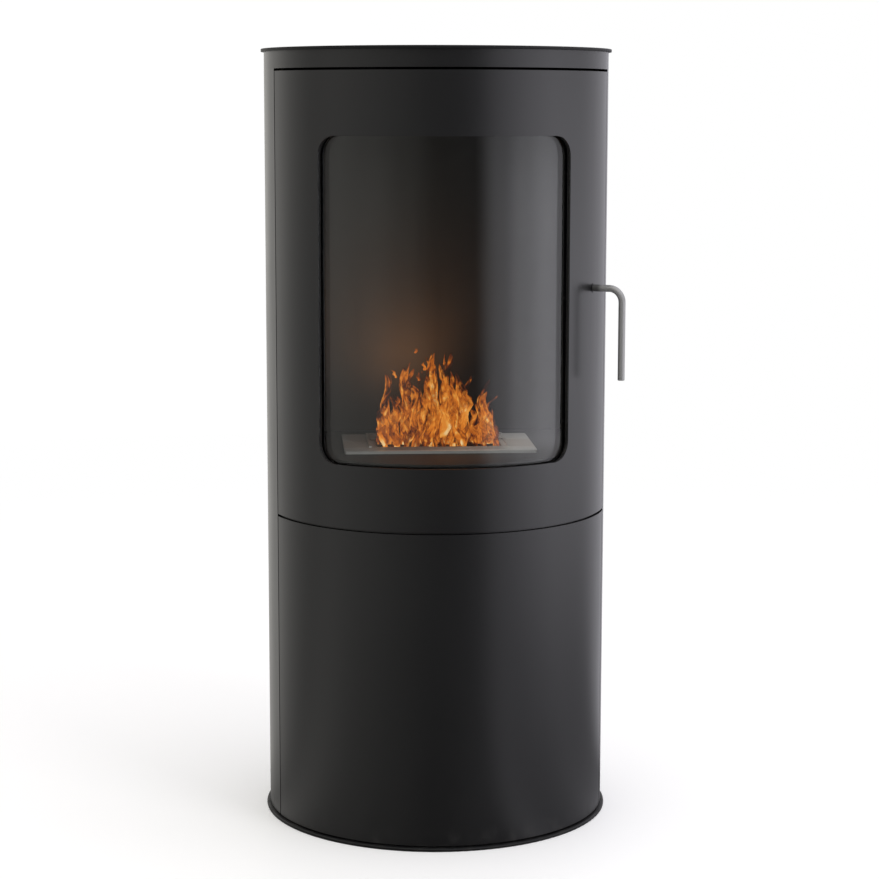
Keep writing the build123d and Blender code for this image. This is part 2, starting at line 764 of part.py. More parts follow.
# ---------------------------------------------------------------- lower door
with BuildPart() as lower_door_skin:
    with BuildSketch(Plane.XY.offset(skin_bottom)):
        add(sector(inner_radius, body_radius, door_start, door_end))
        add(sector(edge_fold_radius, body_radius, door_start, door_start + flange_angle))
        add(sector(edge_fold_radius, body_radius, door_end - flange_angle, door_end))
    extrude(amount=lower_door_top - skin_bottom)
lower_door_skin.part.label = "lower_door_skin"
export_step(lower_door_skin.part, "parts/lower_door_skin.step")

lower_bottom_plate_low = skin_bottom + door_plate_inset
lower_top_plate_low = lower_door_top - door_plate_inset - body_sheet
with BuildPart() as lower_door_bottom_plate:
    add(door_end_plate(lower_bottom_plate_low))
lower_door_bottom_plate.part.label = "lower_door_bottom_plate"
export_step(lower_door_bottom_plate.part, "parts/lower_door_bottom_plate.step")

with BuildPart() as lower_door_top_plate:
    add(door_end_plate(lower_top_plate_low))
lower_door_top_plate.part.label = "lower_door_top_plate"
export_step(lower_door_top_plate.part, "parts/lower_door_top_plate.step")

with BuildPart() as lower_door_bushes:
    add(
        hinge_bush(
            lower_bottom_plate_low,
            base_plate_thickness + collar_gap,
            lower_bottom_plate_low,
            lower_bottom_plate_low,
            lower_bottom_plate_low + body_sheet + sleeve_reach,
        )
    )
    add(
        hinge_bush(
            lower_top_plate_low,
            lower_top_plate_low + body_sheet,
            shelf_bottom - collar_gap,
            lower_top_plate_low - sleeve_reach,
            lower_top_plate_low + body_sheet,
        )
    )
lower_door_bushes.part.label = "lower_door_bushes"
export_step(lower_door_bushes.part, "parts/lower_door_bushes.step")

# curved stiffener across the lower door's middle
rib_height = 250.0
rib_depth = 14.0
with BuildPart() as lower_door_rib:
    with BuildSketch(Plane.XY.offset(rib_height)):
        rib_inner = inner_radius - rib_depth
        add(sector(rib_inner, inner_radius, door_start + 4, door_end - 8))
    extrude(amount=body_sheet)
lower_door_rib.part.label = "lower_door_rib"
export_step(lower_door_rib.part, "parts/lower_door_rib.step")

# ---------------------------------------------------------------- magnet catch of the lower door
catch_azimuth = 71.0
catch_height = 190.0
catch_width = 16.0
catch_length = 44.0
catch_inner = 172.0
catch_outer = 186.4
strike_inner = 187.0
strike_sheet = 1.5
with BuildPart() as magnet_catch:
    with BuildSketch(facing_plane(catch_azimuth, catch_inner, catch_height)):
        RectangleRounded(catch_width, catch_length, 2)
    extrude(amount=catch_outer - catch_inner)
magnet_catch.part.label = "magnet_catch"
export_step(magnet_catch.part, "parts/magnet_catch.step")

bracket_foot = 29.0
with BuildPart() as magnet_bracket:
    with BuildSketch(plan_plane(catch_azimuth, catch_height - catch_length / 2)):
        with Locations(((bracket_foot - catch_width / 2) / 2, -catch_inner + bracket_sheet / 2)):
            Rectangle(bracket_foot + catch_width / 2, bracket_sheet)
        with Locations((bracket_foot, -catch_inner + bracket_sheet)):
            Rectangle(bracket_sheet, 30, align=(Align.MAX, Align.MAX))
    extrude(amount=catch_length)
    with BuildSketch(Plane.XY.offset(catch_height - catch_length / 2)):
        Circle(inner_radius)
    extrude(amount=catch_length, mode=Mode.INTERSECT)
magnet_bracket.part.label = "magnet_bracket"
export_step(magnet_bracket.part, "parts/magnet_bracket.step")

# steel angle on the lower door that the magnet holds
strike_half_width = 8.0
strike_half_height = 18.0
with BuildPart() as strike_plate:
    with BuildSketch(plan_plane(catch_azimuth, catch_height - strike_half_height)):
        with Locations((0, -strike_inner)):
            Rectangle(2 * strike_half_width, strike_sheet, align=(Align.CENTER, Align.MAX))
        with Locations((-strike_half_width, -strike_inner)):
            Rectangle(strike_sheet, 20, align=(Align.MIN, Align.MAX))
    extrude(amount=2 * strike_half_height)
    with BuildSketch(Plane.XY.offset(catch_height - strike_half_height)):
        Circle(inner_radius)
    extrude(amount=2 * strike_half_height, mode=Mode.INTERSECT)
strike_plate.part.label = "strike_plate"
export_step(strike_plate.part, "parts/strike_plate.step")

# ---------------------------------------------------------------- burner
tray_corner = 3.0
with BuildPart() as burner_tray:
    with BuildSketch(Plane.XY.offset(firebox_floor_height)):
        with Locations((0, tray_middle)):
            RectangleRounded(tray_width, tray_depth, tray_corner)
    extrude(amount=tray_height)
    with BuildSketch(Plane.XY.offset(firebox_floor_height)):
        with Locations((0, tray_middle)):
            Rectangle(tray_width - 2 * burner_sheet, tray_depth - 2 * burner_sheet)
    extrude(amount=tray_height - burner_sheet, mode=Mode.SUBTRACT)
    with BuildSketch(Plane.XY.offset(firebox_floor_height)):
        with Locations((0, slot_middle)):
            RectangleRounded(slot_length, slot_width, 4)
    extrude(amount=tray_height, mode=Mode.SUBTRACT)
burner_tray.part.label = "burner_tray"
export_step(burner_tray.part, "parts/burner_tray.step")

reservoir_top = tray_top - burner_sheet
with BuildPart() as fuel_reservoir:
    with BuildSketch(Plane.XY.offset(reservoir_bottom)):
        with Locations((0, tray_middle)):
            Rectangle(reservoir_length, reservoir_width)
    extrude(amount=reservoir_top - reservoir_bottom)
    with BuildSketch(Plane.XY.offset(reservoir_bottom + burner_sheet)):
        with Locations((0, tray_middle)):
            Rectangle(reservoir_length - 2 * burner_sheet, reservoir_width - 2 * burner_sheet)
    extrude(amount=reservoir_top - reservoir_bottom, mode=Mode.SUBTRACT)
fuel_reservoir.part.label = "fuel_reservoir"
export_step(fuel_reservoir.part, "parts/fuel_reservoir.step")

wool_bottom = reservoir_bottom + burner_sheet
wool_thickness = 34.0
wool_length = reservoir_length - 2 * burner_sheet
wool_width = reservoir_width - 2 * burner_sheet
with BuildPart() as ceramic_wool:
    with BuildSketch(Plane.XY.offset(wool_bottom)):
        with Locations((0, tray_middle)):
            Rectangle(wool_length, wool_width)
    extrude(amount=wool_thickness)
ceramic_wool.part.label = "ceramic_wool"
export_step(ceramic_wool.part, "parts/ceramic_wool.step")

grille_hole_radius = 3.0
grille_pitch = 14.0
with BuildPart() as wool_grille:
    with BuildSketch(Plane.XY.offset(wool_bottom + wool_thickness)):
        with Locations((0, tray_middle)):
            Rectangle(wool_length, wool_width)
            with GridLocations(grille_pitch, grille_pitch, 12, 7):
                Circle(grille_hole_radius, mode=Mode.SUBTRACT)
    extrude(amount=1)
wool_grille.part.label = "wool_grille"
export_step(wool_grille.part, "parts/wool_grille.step")

# two low bars that guide the lid
lid_half_length = 78.5
lid_front = -14.0
lid_depth = 54.0
rail_width = 3.0
rail_height = 1.6
rail_gap = 0.5
rail_front = -68.0
rail_rear = 40.0
with BuildPart() as lid_rails:
    for side in (-1, 1):
        with BuildSketch(Plane.XY.offset(tray_top)):
            rail_x = side * (lid_half_length + rail_gap + rail_width / 2)
            with Locations((rail_x, (rail_front + rail_rear) / 2)):
                Rectangle(rail_width, rail_rear - rail_front)
        extrude(amount=rail_height)
lid_rails.part.label = "lid_rails"
export_step(lid_rails.part, "parts/lid_rails.step")

# ---------------------------------------------------------------- burner lid, parked open behind the slot
lid_bottom = tray_top + 0.2
with BuildPart() as burner_lid:
    with BuildSketch(Plane.XY.offset(lid_bottom)):
        with Locations((0, lid_front + lid_depth / 2)):
            RectangleRounded(2 * lid_half_length, lid_depth, 2)
    extrude(amount=burner_sheet)
burner_lid.part.label = "burner_lid"
export_step(burner_lid.part, "parts/burner_lid.step")

lid_grip_height = 11.0
lid_grip_width = 24.0
with BuildPart() as lid_grip:
    with BuildSketch(Plane.XZ.offset(-lid_front)):
        with Locations((0, lid_bottom + burner_sheet)):
            Rectangle(lid_grip_width, lid_grip_height, align=(Align.CENTER, Align.MIN))
        with Locations((0, lid_bottom + burner_sheet + lid_grip_height / 2)):
            Circle(3, mode=Mode.SUBTRACT)
    extrude(amount=-burner_sheet)
    top_corners = lid_grip.edges().filter_by(Axis.Y).group_by(Axis.Z)[-1]
    fillet(top_corners, radius=4)
lid_grip.part.label = "lid_grip"
export_step(lid_grip.part, "parts/lid_grip.step")
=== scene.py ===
import math
import random

import bpy
from mathutils import Matrix, Vector


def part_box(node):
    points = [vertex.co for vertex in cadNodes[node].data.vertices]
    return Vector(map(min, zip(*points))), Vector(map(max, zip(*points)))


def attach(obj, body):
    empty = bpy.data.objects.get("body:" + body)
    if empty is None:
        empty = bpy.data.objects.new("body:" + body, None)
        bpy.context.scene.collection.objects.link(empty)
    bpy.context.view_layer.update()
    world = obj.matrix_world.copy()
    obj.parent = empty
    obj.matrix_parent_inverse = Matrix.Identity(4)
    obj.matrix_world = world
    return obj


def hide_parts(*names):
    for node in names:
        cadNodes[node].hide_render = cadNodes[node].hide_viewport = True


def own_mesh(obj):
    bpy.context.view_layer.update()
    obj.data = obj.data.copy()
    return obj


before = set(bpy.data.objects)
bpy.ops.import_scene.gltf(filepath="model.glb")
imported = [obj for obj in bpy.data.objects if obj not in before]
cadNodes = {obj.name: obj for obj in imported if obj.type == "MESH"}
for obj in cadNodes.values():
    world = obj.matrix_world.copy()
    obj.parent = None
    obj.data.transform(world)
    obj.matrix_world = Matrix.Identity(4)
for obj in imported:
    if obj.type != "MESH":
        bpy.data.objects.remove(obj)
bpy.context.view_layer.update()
print("frame loaded:", len(cadNodes), "nodes")


# camera: matched to the photograph, with the object turned a little to the right
cameraView = {
    "distance": 2.696,
    "height": 0.8344,
    "objectTurn": 3.8,
    "pitch": 8.28,
    "yaw": 0.095,
    "roll": 0.082,
    "focalPixels": 2288,
    "imagePixels": 879,
    "sensor": 36.0,
}


def placeCamera(view):
    data = bpy.data.cameras.new("studioCamera")
    camera = bpy.data.objects.new("studioCamera", data)
    bpy.context.scene.collection.objects.link(camera)
    data.sensor_width = view["sensor"]
    data.lens = view["focalPixels"] * view["sensor"] / view["imagePixels"]
    pitch, yaw, roll = (math.radians(view[key]) for key in ("pitch", "yaw", "roll"))
    forward = Vector((math.sin(yaw) * math.cos(pitch), math.cos(yaw) * math.cos(pitch), -math.sin(pitch)))
    level = Vector((math.cos(yaw), -math.sin(yaw), 0))
    upright = level.cross(forward)
    right = level * math.cos(roll) + upright * math.sin(roll)
    up = upright * math.cos(roll) - level * math.sin(roll)
    axes = Matrix((right, up, -forward)).transposed().to_4x4()
    axes.translation = Vector((0, -view["distance"], view["height"]))
    camera.matrix_world = Matrix.Rotation(-math.radians(view["objectTurn"]), 4, "Z") @ axes
    bpy.context.scene.camera = camera


placeCamera(cameraView)
print("camera placed")


# shader maths: a Wire is one socket, a Recipe is one material or world
class Wire:
    def __init__(self, recipe, socket):
        self.recipe = recipe
        self.socket = socket

    def __add__(self, other):
        return self.recipe.maths("ADD", self, other)

    def __sub__(self, other):
        return self.recipe.maths("SUBTRACT", self, other)

    def __rsub__(self, other):
        return self.recipe.maths("SUBTRACT", other, self)

    def __mul__(self, other):
        return self.recipe.maths("MULTIPLY", self, other)

    def __truediv__(self, other):
        return self.recipe.maths("DIVIDE", self, other)

    __radd__ = __add__
    __rmul__ = __mul__


class Recipe:
    def __init__(self, owner):
        owner.use_nodes = True
        self.tree = owner.node_tree
        self.tree.nodes.clear()
        self.owner = owner

    # settings go first, then the values or wires of the sockets, by name or number
    def node(self, kind, settings=None, sockets=None, out=0):
        made = self.tree.nodes.new(kind)
        for key, value in (settings or {}).items():
            if key == "stops":
                self.fillRamp(made.color_ramp, value)
            elif key == "blend":
                made.color_ramp.interpolation = value
            else:
                setattr(made, key, value)
        for key, value in (sockets or {}).items():
            if isinstance(value, Wire):
                self.tree.links.new(value.socket, made.inputs[key])
            else:
                made.inputs[key].default_value = value
        return Wire(self, made.outputs[out])

    def fillRamp(self, ramp, stops):
        while len(ramp.elements) < len(stops):
            ramp.elements.new(0.5)
        for element, (place, colour) in zip(ramp.elements, stops):
            element.position = place
            element.color = (*colour, 1) if isinstance(colour, tuple) else (colour, colour, colour, 1)

    def maths(self, operation, *values):
        return self.node("ShaderNodeMath", {"operation": operation}, dict(enumerate(values)))

    def vectors(self, operation, *values, out=0):
        return self.node("ShaderNodeVectorMath", {"operation": operation}, dict(enumerate(values)), out)

    # a noise's swing about its middle, this wide
    def swing(self, value, width):
        return (value - 0.5) * width

    def smooth(self, value, low, high):
        settings = {"interpolation_type": "SMOOTHSTEP"}
        return self.node("ShaderNodeMapRange", settings, {"Value": value, "From Min": low, "From Max": high})

    # rises over the first pair of values and falls over the second
    def between(self, value, rise, fall):
        return self.smooth(value, *rise) * self.smooth(value, *fall)

    def mixColour(self, factor, first, second):
        sockets = {0: factor, 6: asColour(first), 7: asColour(second)}
        return self.node("ShaderNodeMix", {"data_type": "RGBA"}, sockets, out=2)

    def ramp(self, factor, stops, blend="LINEAR"):
        return self.node("ShaderNodeValToRGB", {"stops": stops, "blend": blend}, {"Fac": factor})

    def place(self):
        return self.node("ShaderNodeTexCoord", out="Object")

    def ray(self, kind):
        return self.node("ShaderNodeLightPath", out=f"Is {kind} Ray")

    def emission(self, colour, strength):
        return self.node("ShaderNodeEmission", None, {"Color": colour, "Strength": strength})

    def stretched(self, vector, scale, turn=(0, 0, 0)):
        return self.node("ShaderNodeMapping", None, {"Vector": vector, "Scale": scale, "Rotation": turn})

    def noise(self, vector, scale, detail=2.0, roughness=0.5, distortion=0.0):
        sockets = {"Vector": vector, "Scale": scale, "Detail": detail, "Roughness": roughness}
        return self.node("ShaderNodeTexNoise", None, {**sockets, "Distortion": distortion})

    def cells(self, vector, scale, feature, out=0):
        sockets = {"Vector": vector, "Scale": scale}
        return self.node("ShaderNodeTexVoronoi", {"feature": feature}, sockets, out)

    def part(self, vector, axis):
        return self.node("ShaderNodeSeparateXYZ", None, {"Vector": vector}, out=axis)

    def bump(self, height, distance, strength=1.0, below=None):
        sockets = {"Height": height, "Distance": distance, "Strength": strength}
        if below:
            sockets["Normal"] = below
        return self.node("ShaderNodeBump", None, sockets)

    def finish(self, shader, output="ShaderNodeOutputMaterial"):
        end = self.tree.nodes.new(output)
        self.tree.links.new(shader.socket, end.inputs["Surface"])
        return self.owner

    def principled(self, **sockets):
        named = {key.replace("_", " "): value for key, value in sockets.items()}
        return self.finish(self.node("ShaderNodeBsdfPrincipled", None, named))


def asColour(value):
    return (*value, 1) if isinstance(value, tuple) and len(value) == 3 else value


def newMaterial(name):
    return Recipe(bpy.data.materials.new(name))


# the finishes: what a user would change is in a dictionary above each recipe
stovePaint = {
    "dark": (0.0038, 0.0038, 0.0044),
    "light": (0.0062, 0.0061, 0.0068),
    "grainTone": (0.011, 0.011, 0.0115),
    "dust": (0.12, 0.115, 0.105),
    "dustTop": 0.03,
    "dustPatch": 60,
    "roughness": 0.31,
    "index": 1.72,
    "cloud": 7,
    "wipe": (9, 9, 1.6),
    "grain": 1500,
    "grainDepth": 0.00003,
    "peel": 260,
    "peelDepth": 0.00005,
}
# the two end plates have a duller coat
platePaint = {**stovePaint, "roughness": 0.55, "index": 1.4, "dark": (0.003, 0.003, 0.0033)}
# old black grease hides the zinc of the hinge pins
pinGrease = {**stovePaint, "roughness": 0.6, "index": 1.35, "dark": (0.002, 0.002, 0.002), "dustTop": 0.001}


# satin powder coat: fine grain over a slow orange peel, with faint wipe marks and dust at the foot
def paintStove(name, look):
    r = newMaterial(name)
    place = r.place()
    cloud = r.noise(place, look["cloud"], 3)
    wipe = r.noise(r.stretched(place, look["wipe"]), 4, 4, 0.6)
    grain = r.noise(place, look["grain"], 1)
    peel = r.noise(place, look["peel"], 2)
    height = r.part(place, "Z")
    patch = r.smooth(r.noise(place, look["dustPatch"], 4), 0.45, 0.75)
    dust = r.smooth(height, look["dustTop"], 0.0) * patch
    tone = r.mixColour(cloud, look["dark"], look["light"])
    tone = r.mixColour(grain * 0.3, tone, look["grainTone"])
    tone = r.mixColour(dust * 0.12, tone, look["dust"])
    gloss = look["roughness"] + r.swing(cloud, 0.06) + r.swing(wipe, 0.09) + r.swing(grain, 0.04) + dust * 0.2
    surface = r.bump(grain, look["grainDepth"], 0.5, r.bump(peel, look["peelDepth"], 0.35))
    return r.principled(Base_Color=tone, Roughness=gloss, Normal=surface, IOR=look["index"])


fireboxPaint = {
    "dark": (0.017, 0.0165, 0.016),
    "light": (0.028, 0.0265, 0.025),
    # partly heat browning, partly the fire's glow painted on
    "heatBrownAndGlow": (0.045, 0.039, 0.033),
    "soot": (0.009, 0.0085, 0.008),
    "roughness": 0.62,
    "heatAndGlowMiddle": (0, 0.095, 0.62),
    "heatAndGlowReach": (0.2, 0.04),
    "cloud": 16,
    "speck": 1100,
    "rising": (30, 30, 2.2),
}


# matt heat-proof paint, greyed and browned above the burner, partly by heat and partly by a painted glow of
# the fire, with faint soot streaks that rise
def paintFirebox(look):
    r = newMaterial("fireboxPaint")
    place = r.place()
    cloud = r.noise(place, look["cloud"], 4, 0.6)
    speck = r.noise(place, look["speck"], 2)
    streak = r.noise(r.stretched(place, look["rising"]), 1, 4, 0.6)
    away = r.vectors("DISTANCE", place, look["heatAndGlowMiddle"], out="Value")
    # a lighter, browner patch on the wall above the fire: heat discolouring, with the fire's glow painted on
    heat = r.smooth(away + r.swing(cloud, 0.12), *look["heatAndGlowReach"])
    tone = r.mixColour(cloud, look["dark"], look["light"])
    tone = r.mixColour(heat * 0.55, tone, look["heatBrownAndGlow"])
    tone = r.mixColour(r.smooth(streak, 0.5, 0.8) * 0.5, tone, look["soot"])
    gloss = look["roughness"] + r.swing(cloud, 0.15) + heat * 0.12 + r.swing(speck, 0.1)
    surface = r.bump(speck, 0.00001, 0.1, r.bump(cloud, 0.0001, 0.1))
    return r.principled(Base_Color=tone, Roughness=gloss, Normal=surface)


zincPlate = {
    "cool": (0.56, 0.58, 0.6),
    "warm": (0.66, 0.63, 0.55),
    "facet": (0.4, 0.41, 0.43),
    "roughness": 0.36,
    "crystal": 330,
    "skin": 35,
    "dullPatch": 90,
    "pits": 900,
    "pitDepth": 0.00003,
}


# zinc plate: small crystals in a blue and straw passivated skin, dulled by handling
def plateZinc(look):
    r = newMaterial("zincPlate")
    place = r.place()
    facet = r.part(r.cells(place, look["crystal"], "F1", out="Color"), "X")
    skin = r.noise(place, look["skin"], 3)
    tone = r.mixColour(skin, look["cool"], look["warm"])
    tone = r.mixColour(facet * 0.25, tone, look["facet"])
    dull = r.smooth(r.noise(place, look["dullPatch"], 4, 0.6), 0.5, 0.72)
    gloss = look["roughness"] + r.swing(facet, 0.14) + dull * 0.16
    surface = r.bump(r.noise(place, look["pits"], 2), look["pitDepth"], 0.4)
    return r.principled(Base_Color=tone, Roughness=gloss, Metallic=1.0, Normal=surface)


springStrip = {
    "tone": (0.36, 0.36, 0.37),
    "tint": (0.3, 0.25, 0.19),
    "roughness": 0.28,
    "tintPatch": 55,
    "rolling": (40, 40, 1500),
    "lineDepth": 0.00002,
}


# cold-rolled spring strip: fine rolling lines and a straw temper tint
def rollSpring(look):
    r = newMaterial("springStrip")
    place = r.place()
    lines = r.noise(r.stretched(place, look["rolling"]), 1, 3)
    tint = r.smooth(r.noise(place, look["tintPatch"], 3), 0.42, 0.68)
    tone = r.mixColour(tint * 0.6, look["tone"], look["tint"])
    gloss = look["roughness"] + r.swing(lines, 0.2)
    surface = r.bump(lines, look["lineDepth"], 0.5)
    return r.principled(Base_Color=tone, Roughness=gloss, Metallic=1.0, Normal=surface)


satinRod = {
    "tone": (0.36, 0.36, 0.358),
    "worn": (0.41, 0.407, 0.4),
    "smear": (0.19, 0.187, 0.183),
    # painted shade: the rod's colour darkens close to the door
    "rootShade": (0.03, 0.03, 0.03),
    "rootShadeReach": (0.2125, 0.2055),
    "gripTop": (0.6, 0.56),
    "roughness": 0.43,
    "metal": 0.6,
    "smears": 45,
    "rings": (120, 120, 2600),
    "ringDepth": 0.00002,
}


# satin steel of the handle: fine rings from polishing, worn bright at the grip, with painted shade where the
# rod goes into the door
def satinSteel(look):
    r = newMaterial("satinSteel")
    place = r.place()
    rings = r.noise(r.stretched(place, look["rings"]), 1, 2)
    smear = r.noise(place, look["smears"], 4, 0.6)
    height = r.part(place, "Z")
    held = r.smooth(height, *look["gripTop"]) * r.smooth(smear, 0.35, 0.7)
    tone = r.mixColour(held * 0.6, look["tone"], look["worn"])
    tone = r.mixColour(r.smooth(smear, 0.55, 0.8) * 0.35, tone, look["smear"])
    # painted shade: the rod is darkened near the door, where it enters its bush
    fromAxis = r.vectors("LENGTH", r.vectors("MULTIPLY", place, (1, 1, 0)), out="Value")
    rootShade = r.smooth(fromAxis + r.swing(smear, 0.003), *look["rootShadeReach"])
    tone = r.mixColour(rootShade * 0.75, tone, look["rootShade"])
    gloss = look["roughness"] + r.swing(rings, 0.16) + r.swing(smear, 0.14) - held * 0.06
    surface = r.bump(rings, look["ringDepth"], 0.4)
    return r.principled(Base_Color=tone, Roughness=gloss, Metallic=look["metal"], Normal=surface)


brushedSteel = {
    "tone": (0.5, 0.49, 0.475),
    "streak": (0.62, 0.61, 0.6),
    "scratch": (0.75, 0.75, 0.74),
    "straw": (0.46, 0.36, 0.24),
    "bronze": (0.3, 0.21, 0.17),
    "soot": (0.05, 0.045, 0.042),
    "roughness": 0.46,
    "metal": 0.55,
    "slotY": -0.041,
    "heatWidth": (0.052, 0.02),
    "sootWidth": (0.059, 0.045),
    "sootLength": (0.088, 0.066),
    "patch": 28,
    "broadLines": (5, 150, 150),
    "scratches": (60, 900, 900),
    "scratchTurn": (0, 0, 0.5),
    "lines": (14, 1900, 1900),
    "lineDepth": 0.00003,
}


# brushed stainless: lines along X, scratches, and heat colours and soot that spread from the fuel slot
def brushStainless(look):
    r = newMaterial("brushedStainless")
    place = r.place()
    lines = r.noise(r.stretched(place, look["lines"]), 1, 3, 0.6)
    broad = r.noise(r.stretched(place, look["broadLines"]), 1, 2)
    turned = r.stretched(place, look["scratches"], look["scratchTurn"])
    scratch = r.smooth(r.noise(turned, 1, 2), 0.66, 0.7)
    patch = r.noise(place, look["patch"], 3)
    fromSlot = r.maths("ABSOLUTE", r.part(place, "Y") - look["slotY"])
    along = r.maths("ABSOLUTE", r.part(place, "X"))
    heat = r.smooth(fromSlot + r.swing(patch, 0.02), *look["heatWidth"])
    edge = r.swing(patch, 0.012)
    soot = r.smooth(fromSlot + edge, *look["sootWidth"]) * r.smooth(along + edge, *look["sootLength"])
    tone = r.mixColour(lines, look["tone"], look["streak"])
    tone = r.mixColour(heat * 0.22, tone, look["straw"])
    tone = r.mixColour(r.smooth(heat, 0.75, 1.0) * 0.22, tone, look["bronze"])
    tone = r.mixColour(scratch * 0.3, tone, look["scratch"])
    tone = r.mixColour(soot * 0.72, tone, look["soot"])
    gloss = look["roughness"] + r.swing(lines, 0.22) + r.swing(broad, 0.1) + heat * 0.08 + soot * 0.1
    metal = look["metal"] * (1 - soot * 0.7)
    surface = r.bump(lines, look["lineDepth"], 0.45)
    return r.principled(Base_Color=tone, Roughness=gloss, Metallic=metal, Normal=surface)


turnedBrass = {
    "bright": (0.085, 0.066, 0.042),
    "tarnish": (0.03, 0.024, 0.018),
    "roughness": 0.36,
    "tarnishPatch": 180,
    "rings": (80, 80, 3000),
    "ringDepth": 0.00002,
}


# turned brass of the bushes, brown with heat and oil: lathe rings and tarnish
def turnBrass(look):
    r = newMaterial("turnedBrass")
    place = r.place()
    rings = r.noise(r.stretched(place, look["rings"]), 1, 2)
    tarnish = r.smooth(r.noise(place, look["tarnishPatch"], 4, 0.6), 0.45, 0.75)
    tone = r.mixColour(tarnish * 0.6, look["bright"], look["tarnish"])
    gloss = look["roughness"] + r.swing(rings, 0.16) + tarnish * 0.2
    surface = r.bump(rings, look["ringDepth"], 0.5)
    return r.principled(Base_Color=tone, Roughness=gloss, Metallic=1.0, Normal=surface)


paneGlass = {
    "through": (0.93, 0.94, 0.93),
    "index": 1.5,
    "roughness": 0.03,
    "hazeRoughness": 0.05,
    "hazeShare": 0.004,
    "wipe": (6, 6, 2.5),
    "ripple": 3.2,
    "rippleDepth": 0.0012,
}


# curved fire glass: light goes straight through, and each face mirrors the room; a faint haze of use
def clearGlass(look):
    r = newMaterial("curvedFireGlass")
    place = r.place()
    haze = r.smooth(r.noise(r.stretched(place, look["wipe"]), 1, 4, 0.6), 0.4, 0.8)
    surface = r.bump(r.noise(place, look["ripple"], 1), look["rippleDepth"], 0.25)
    # the inner side of a face mirrors as much as its outer side, because light isn't bent on its way through
    inner = r.node("ShaderNodeNewGeometry", out="Backfacing")
    index = look["index"] + inner * (1 / look["index"] - look["index"])
    facing = r.node("ShaderNodeFresnel", None, {"IOR": index, "Normal": surface})
    clear = r.node("ShaderNodeBsdfTransparent", None, {"Color": asColour(look["through"])})
    gloss = look["roughness"] + haze * look["hazeRoughness"]
    sockets = {"Base Color": (1, 1, 1, 1), "Metallic": 1.0, "Roughness": gloss, "Normal": surface}
    mirror = r.node("ShaderNodeBsdfPrincipled", None, sockets)
    share = facing + haze * look["hazeShare"]
    return r.finish(r.node("ShaderNodeMixShader", None, {0: share, 1: clear, 2: mirror}))


ropeFibre = {
    "dark": (0.003, 0.003, 0.003),
    "light": (0.014, 0.0137, 0.0133),
    "roughness": 0.85,
    "plyDepth": 0.0003,
    "fibre": (900, 900, 900),
    "fibreDepth": 0.00008,
}


# knitted glass-fibre rope: a braid of plies round the rope's own UV map, with loose fibres
def knitRope(look):
    r = newMaterial("gasketRope")
    uv = r.node("ShaderNodeTexCoord", out="UV")
    along = r.part(uv, "X")
    around = r.part(uv, "Y")
    rising = r.maths("SINE", (along + around) * (2 * math.pi))
    falling = r.maths("SINE", (along - around) * (2 * math.pi))
    ply = r.maths("MAXIMUM", rising, falling) * 0.5 + 0.5
    fibre = r.noise(r.stretched(r.place(), look["fibre"]), 1, 3)
    tone = r.mixColour(ply * 0.7 + fibre * 0.3, look["dark"], look["light"])
    surface = r.bump(ply, look["plyDepth"], 0.7, r.bump(fibre, look["fibreDepth"], 0.6))
    gloss = look["roughness"] + r.swing(fibre, 0.15)
    return r.principled(Base_Color=tone, Roughness=gloss, Normal=surface)


siliconeStop = {
    "tone": (0.03, 0.03, 0.031),
    "bloom": (0.07, 0.07, 0.07),
    "roughness": 0.6,
    "bloomPatch": 260,
    "grain": 1600,
    "grainDepth": 0.00003,
}


# black silicone, with a faint grey bloom
def mouldSilicone(look):
    r = newMaterial("blackSilicone")
    place = r.place()
    bloom = r.smooth(r.noise(place, look["bloomPatch"], 4, 0.6), 0.45, 0.75)
    tone = r.mixColour(bloom * 0.5, look["tone"], look["bloom"])
    gloss = look["roughness"] + bloom * 0.2
    surface = r.bump(r.noise(place, look["grain"], 2), look["grainDepth"], 0.5)
    return r.principled(Base_Color=tone, Roughness=gloss, Normal=surface)


mouldedCatch = {
    "tone": (0.035, 0.035, 0.036),
    "scuff": (0.08, 0.08, 0.08),
    "roughness": 0.5,
    "scuffPatch": 140,
    "grain": 1700,
    "grainDepth": 0.00006,
}


# black moulded plastic of the catch, with a spark-eroded grain
def mouldCatch(look):
    r = newMaterial("catchPlastic")
    place = r.place()
    grain = r.cells(place, look["grain"], "SMOOTH_F1")
    scuff = r.smooth(r.noise(place, look["scuffPatch"], 4, 0.6), 0.56, 0.75)
    tone = r.mixColour(scuff * 0.4, look["tone"], look["scuff"])
    gloss = look["roughness"] + scuff * 0.18 + r.swing(grain, 0.12)
    surface = r.bump(grain, look["grainDepth"], 0.5)
    return r.principled(Base_Color=tone, Roughness=gloss, Normal=surface)


woolBlock = {
    "clean": (0.74, 0.73, 0.69),
    "shade": (0.6, 0.59, 0.55),
    "singed": (0.2, 0.17, 0.13),
    "singeHeight": (0.4185, 0.4205),
    "singePatch": 70,
    "roughness": 0.95,
    "fibre": (260, 700, 400),
    "fibreDepth": 0.0006,
}


# white ceramic wool: matted fibres, singed under the slot
def matWool(look):
    r = newMaterial("ceramicWool")
    place = r.place()
    fibre = r.noise(r.stretched(place, look["fibre"]), 1, 5, 0.7, 1.4)
    patch = r.smooth(r.noise(place, look["singePatch"], 4), 0.4, 0.75)
    singe = r.smooth(r.part(place, "Z"), *look["singeHeight"]) * patch
    tone = r.mixColour(fibre, look["shade"], look["clean"])
    tone = r.mixColour(singe * 0.55, tone, look["singed"])
    surface = r.bump(fibre, look["fibreDepth"], 0.8)
    return r.principled(Base_Color=tone, Roughness=look["roughness"], Normal=surface)


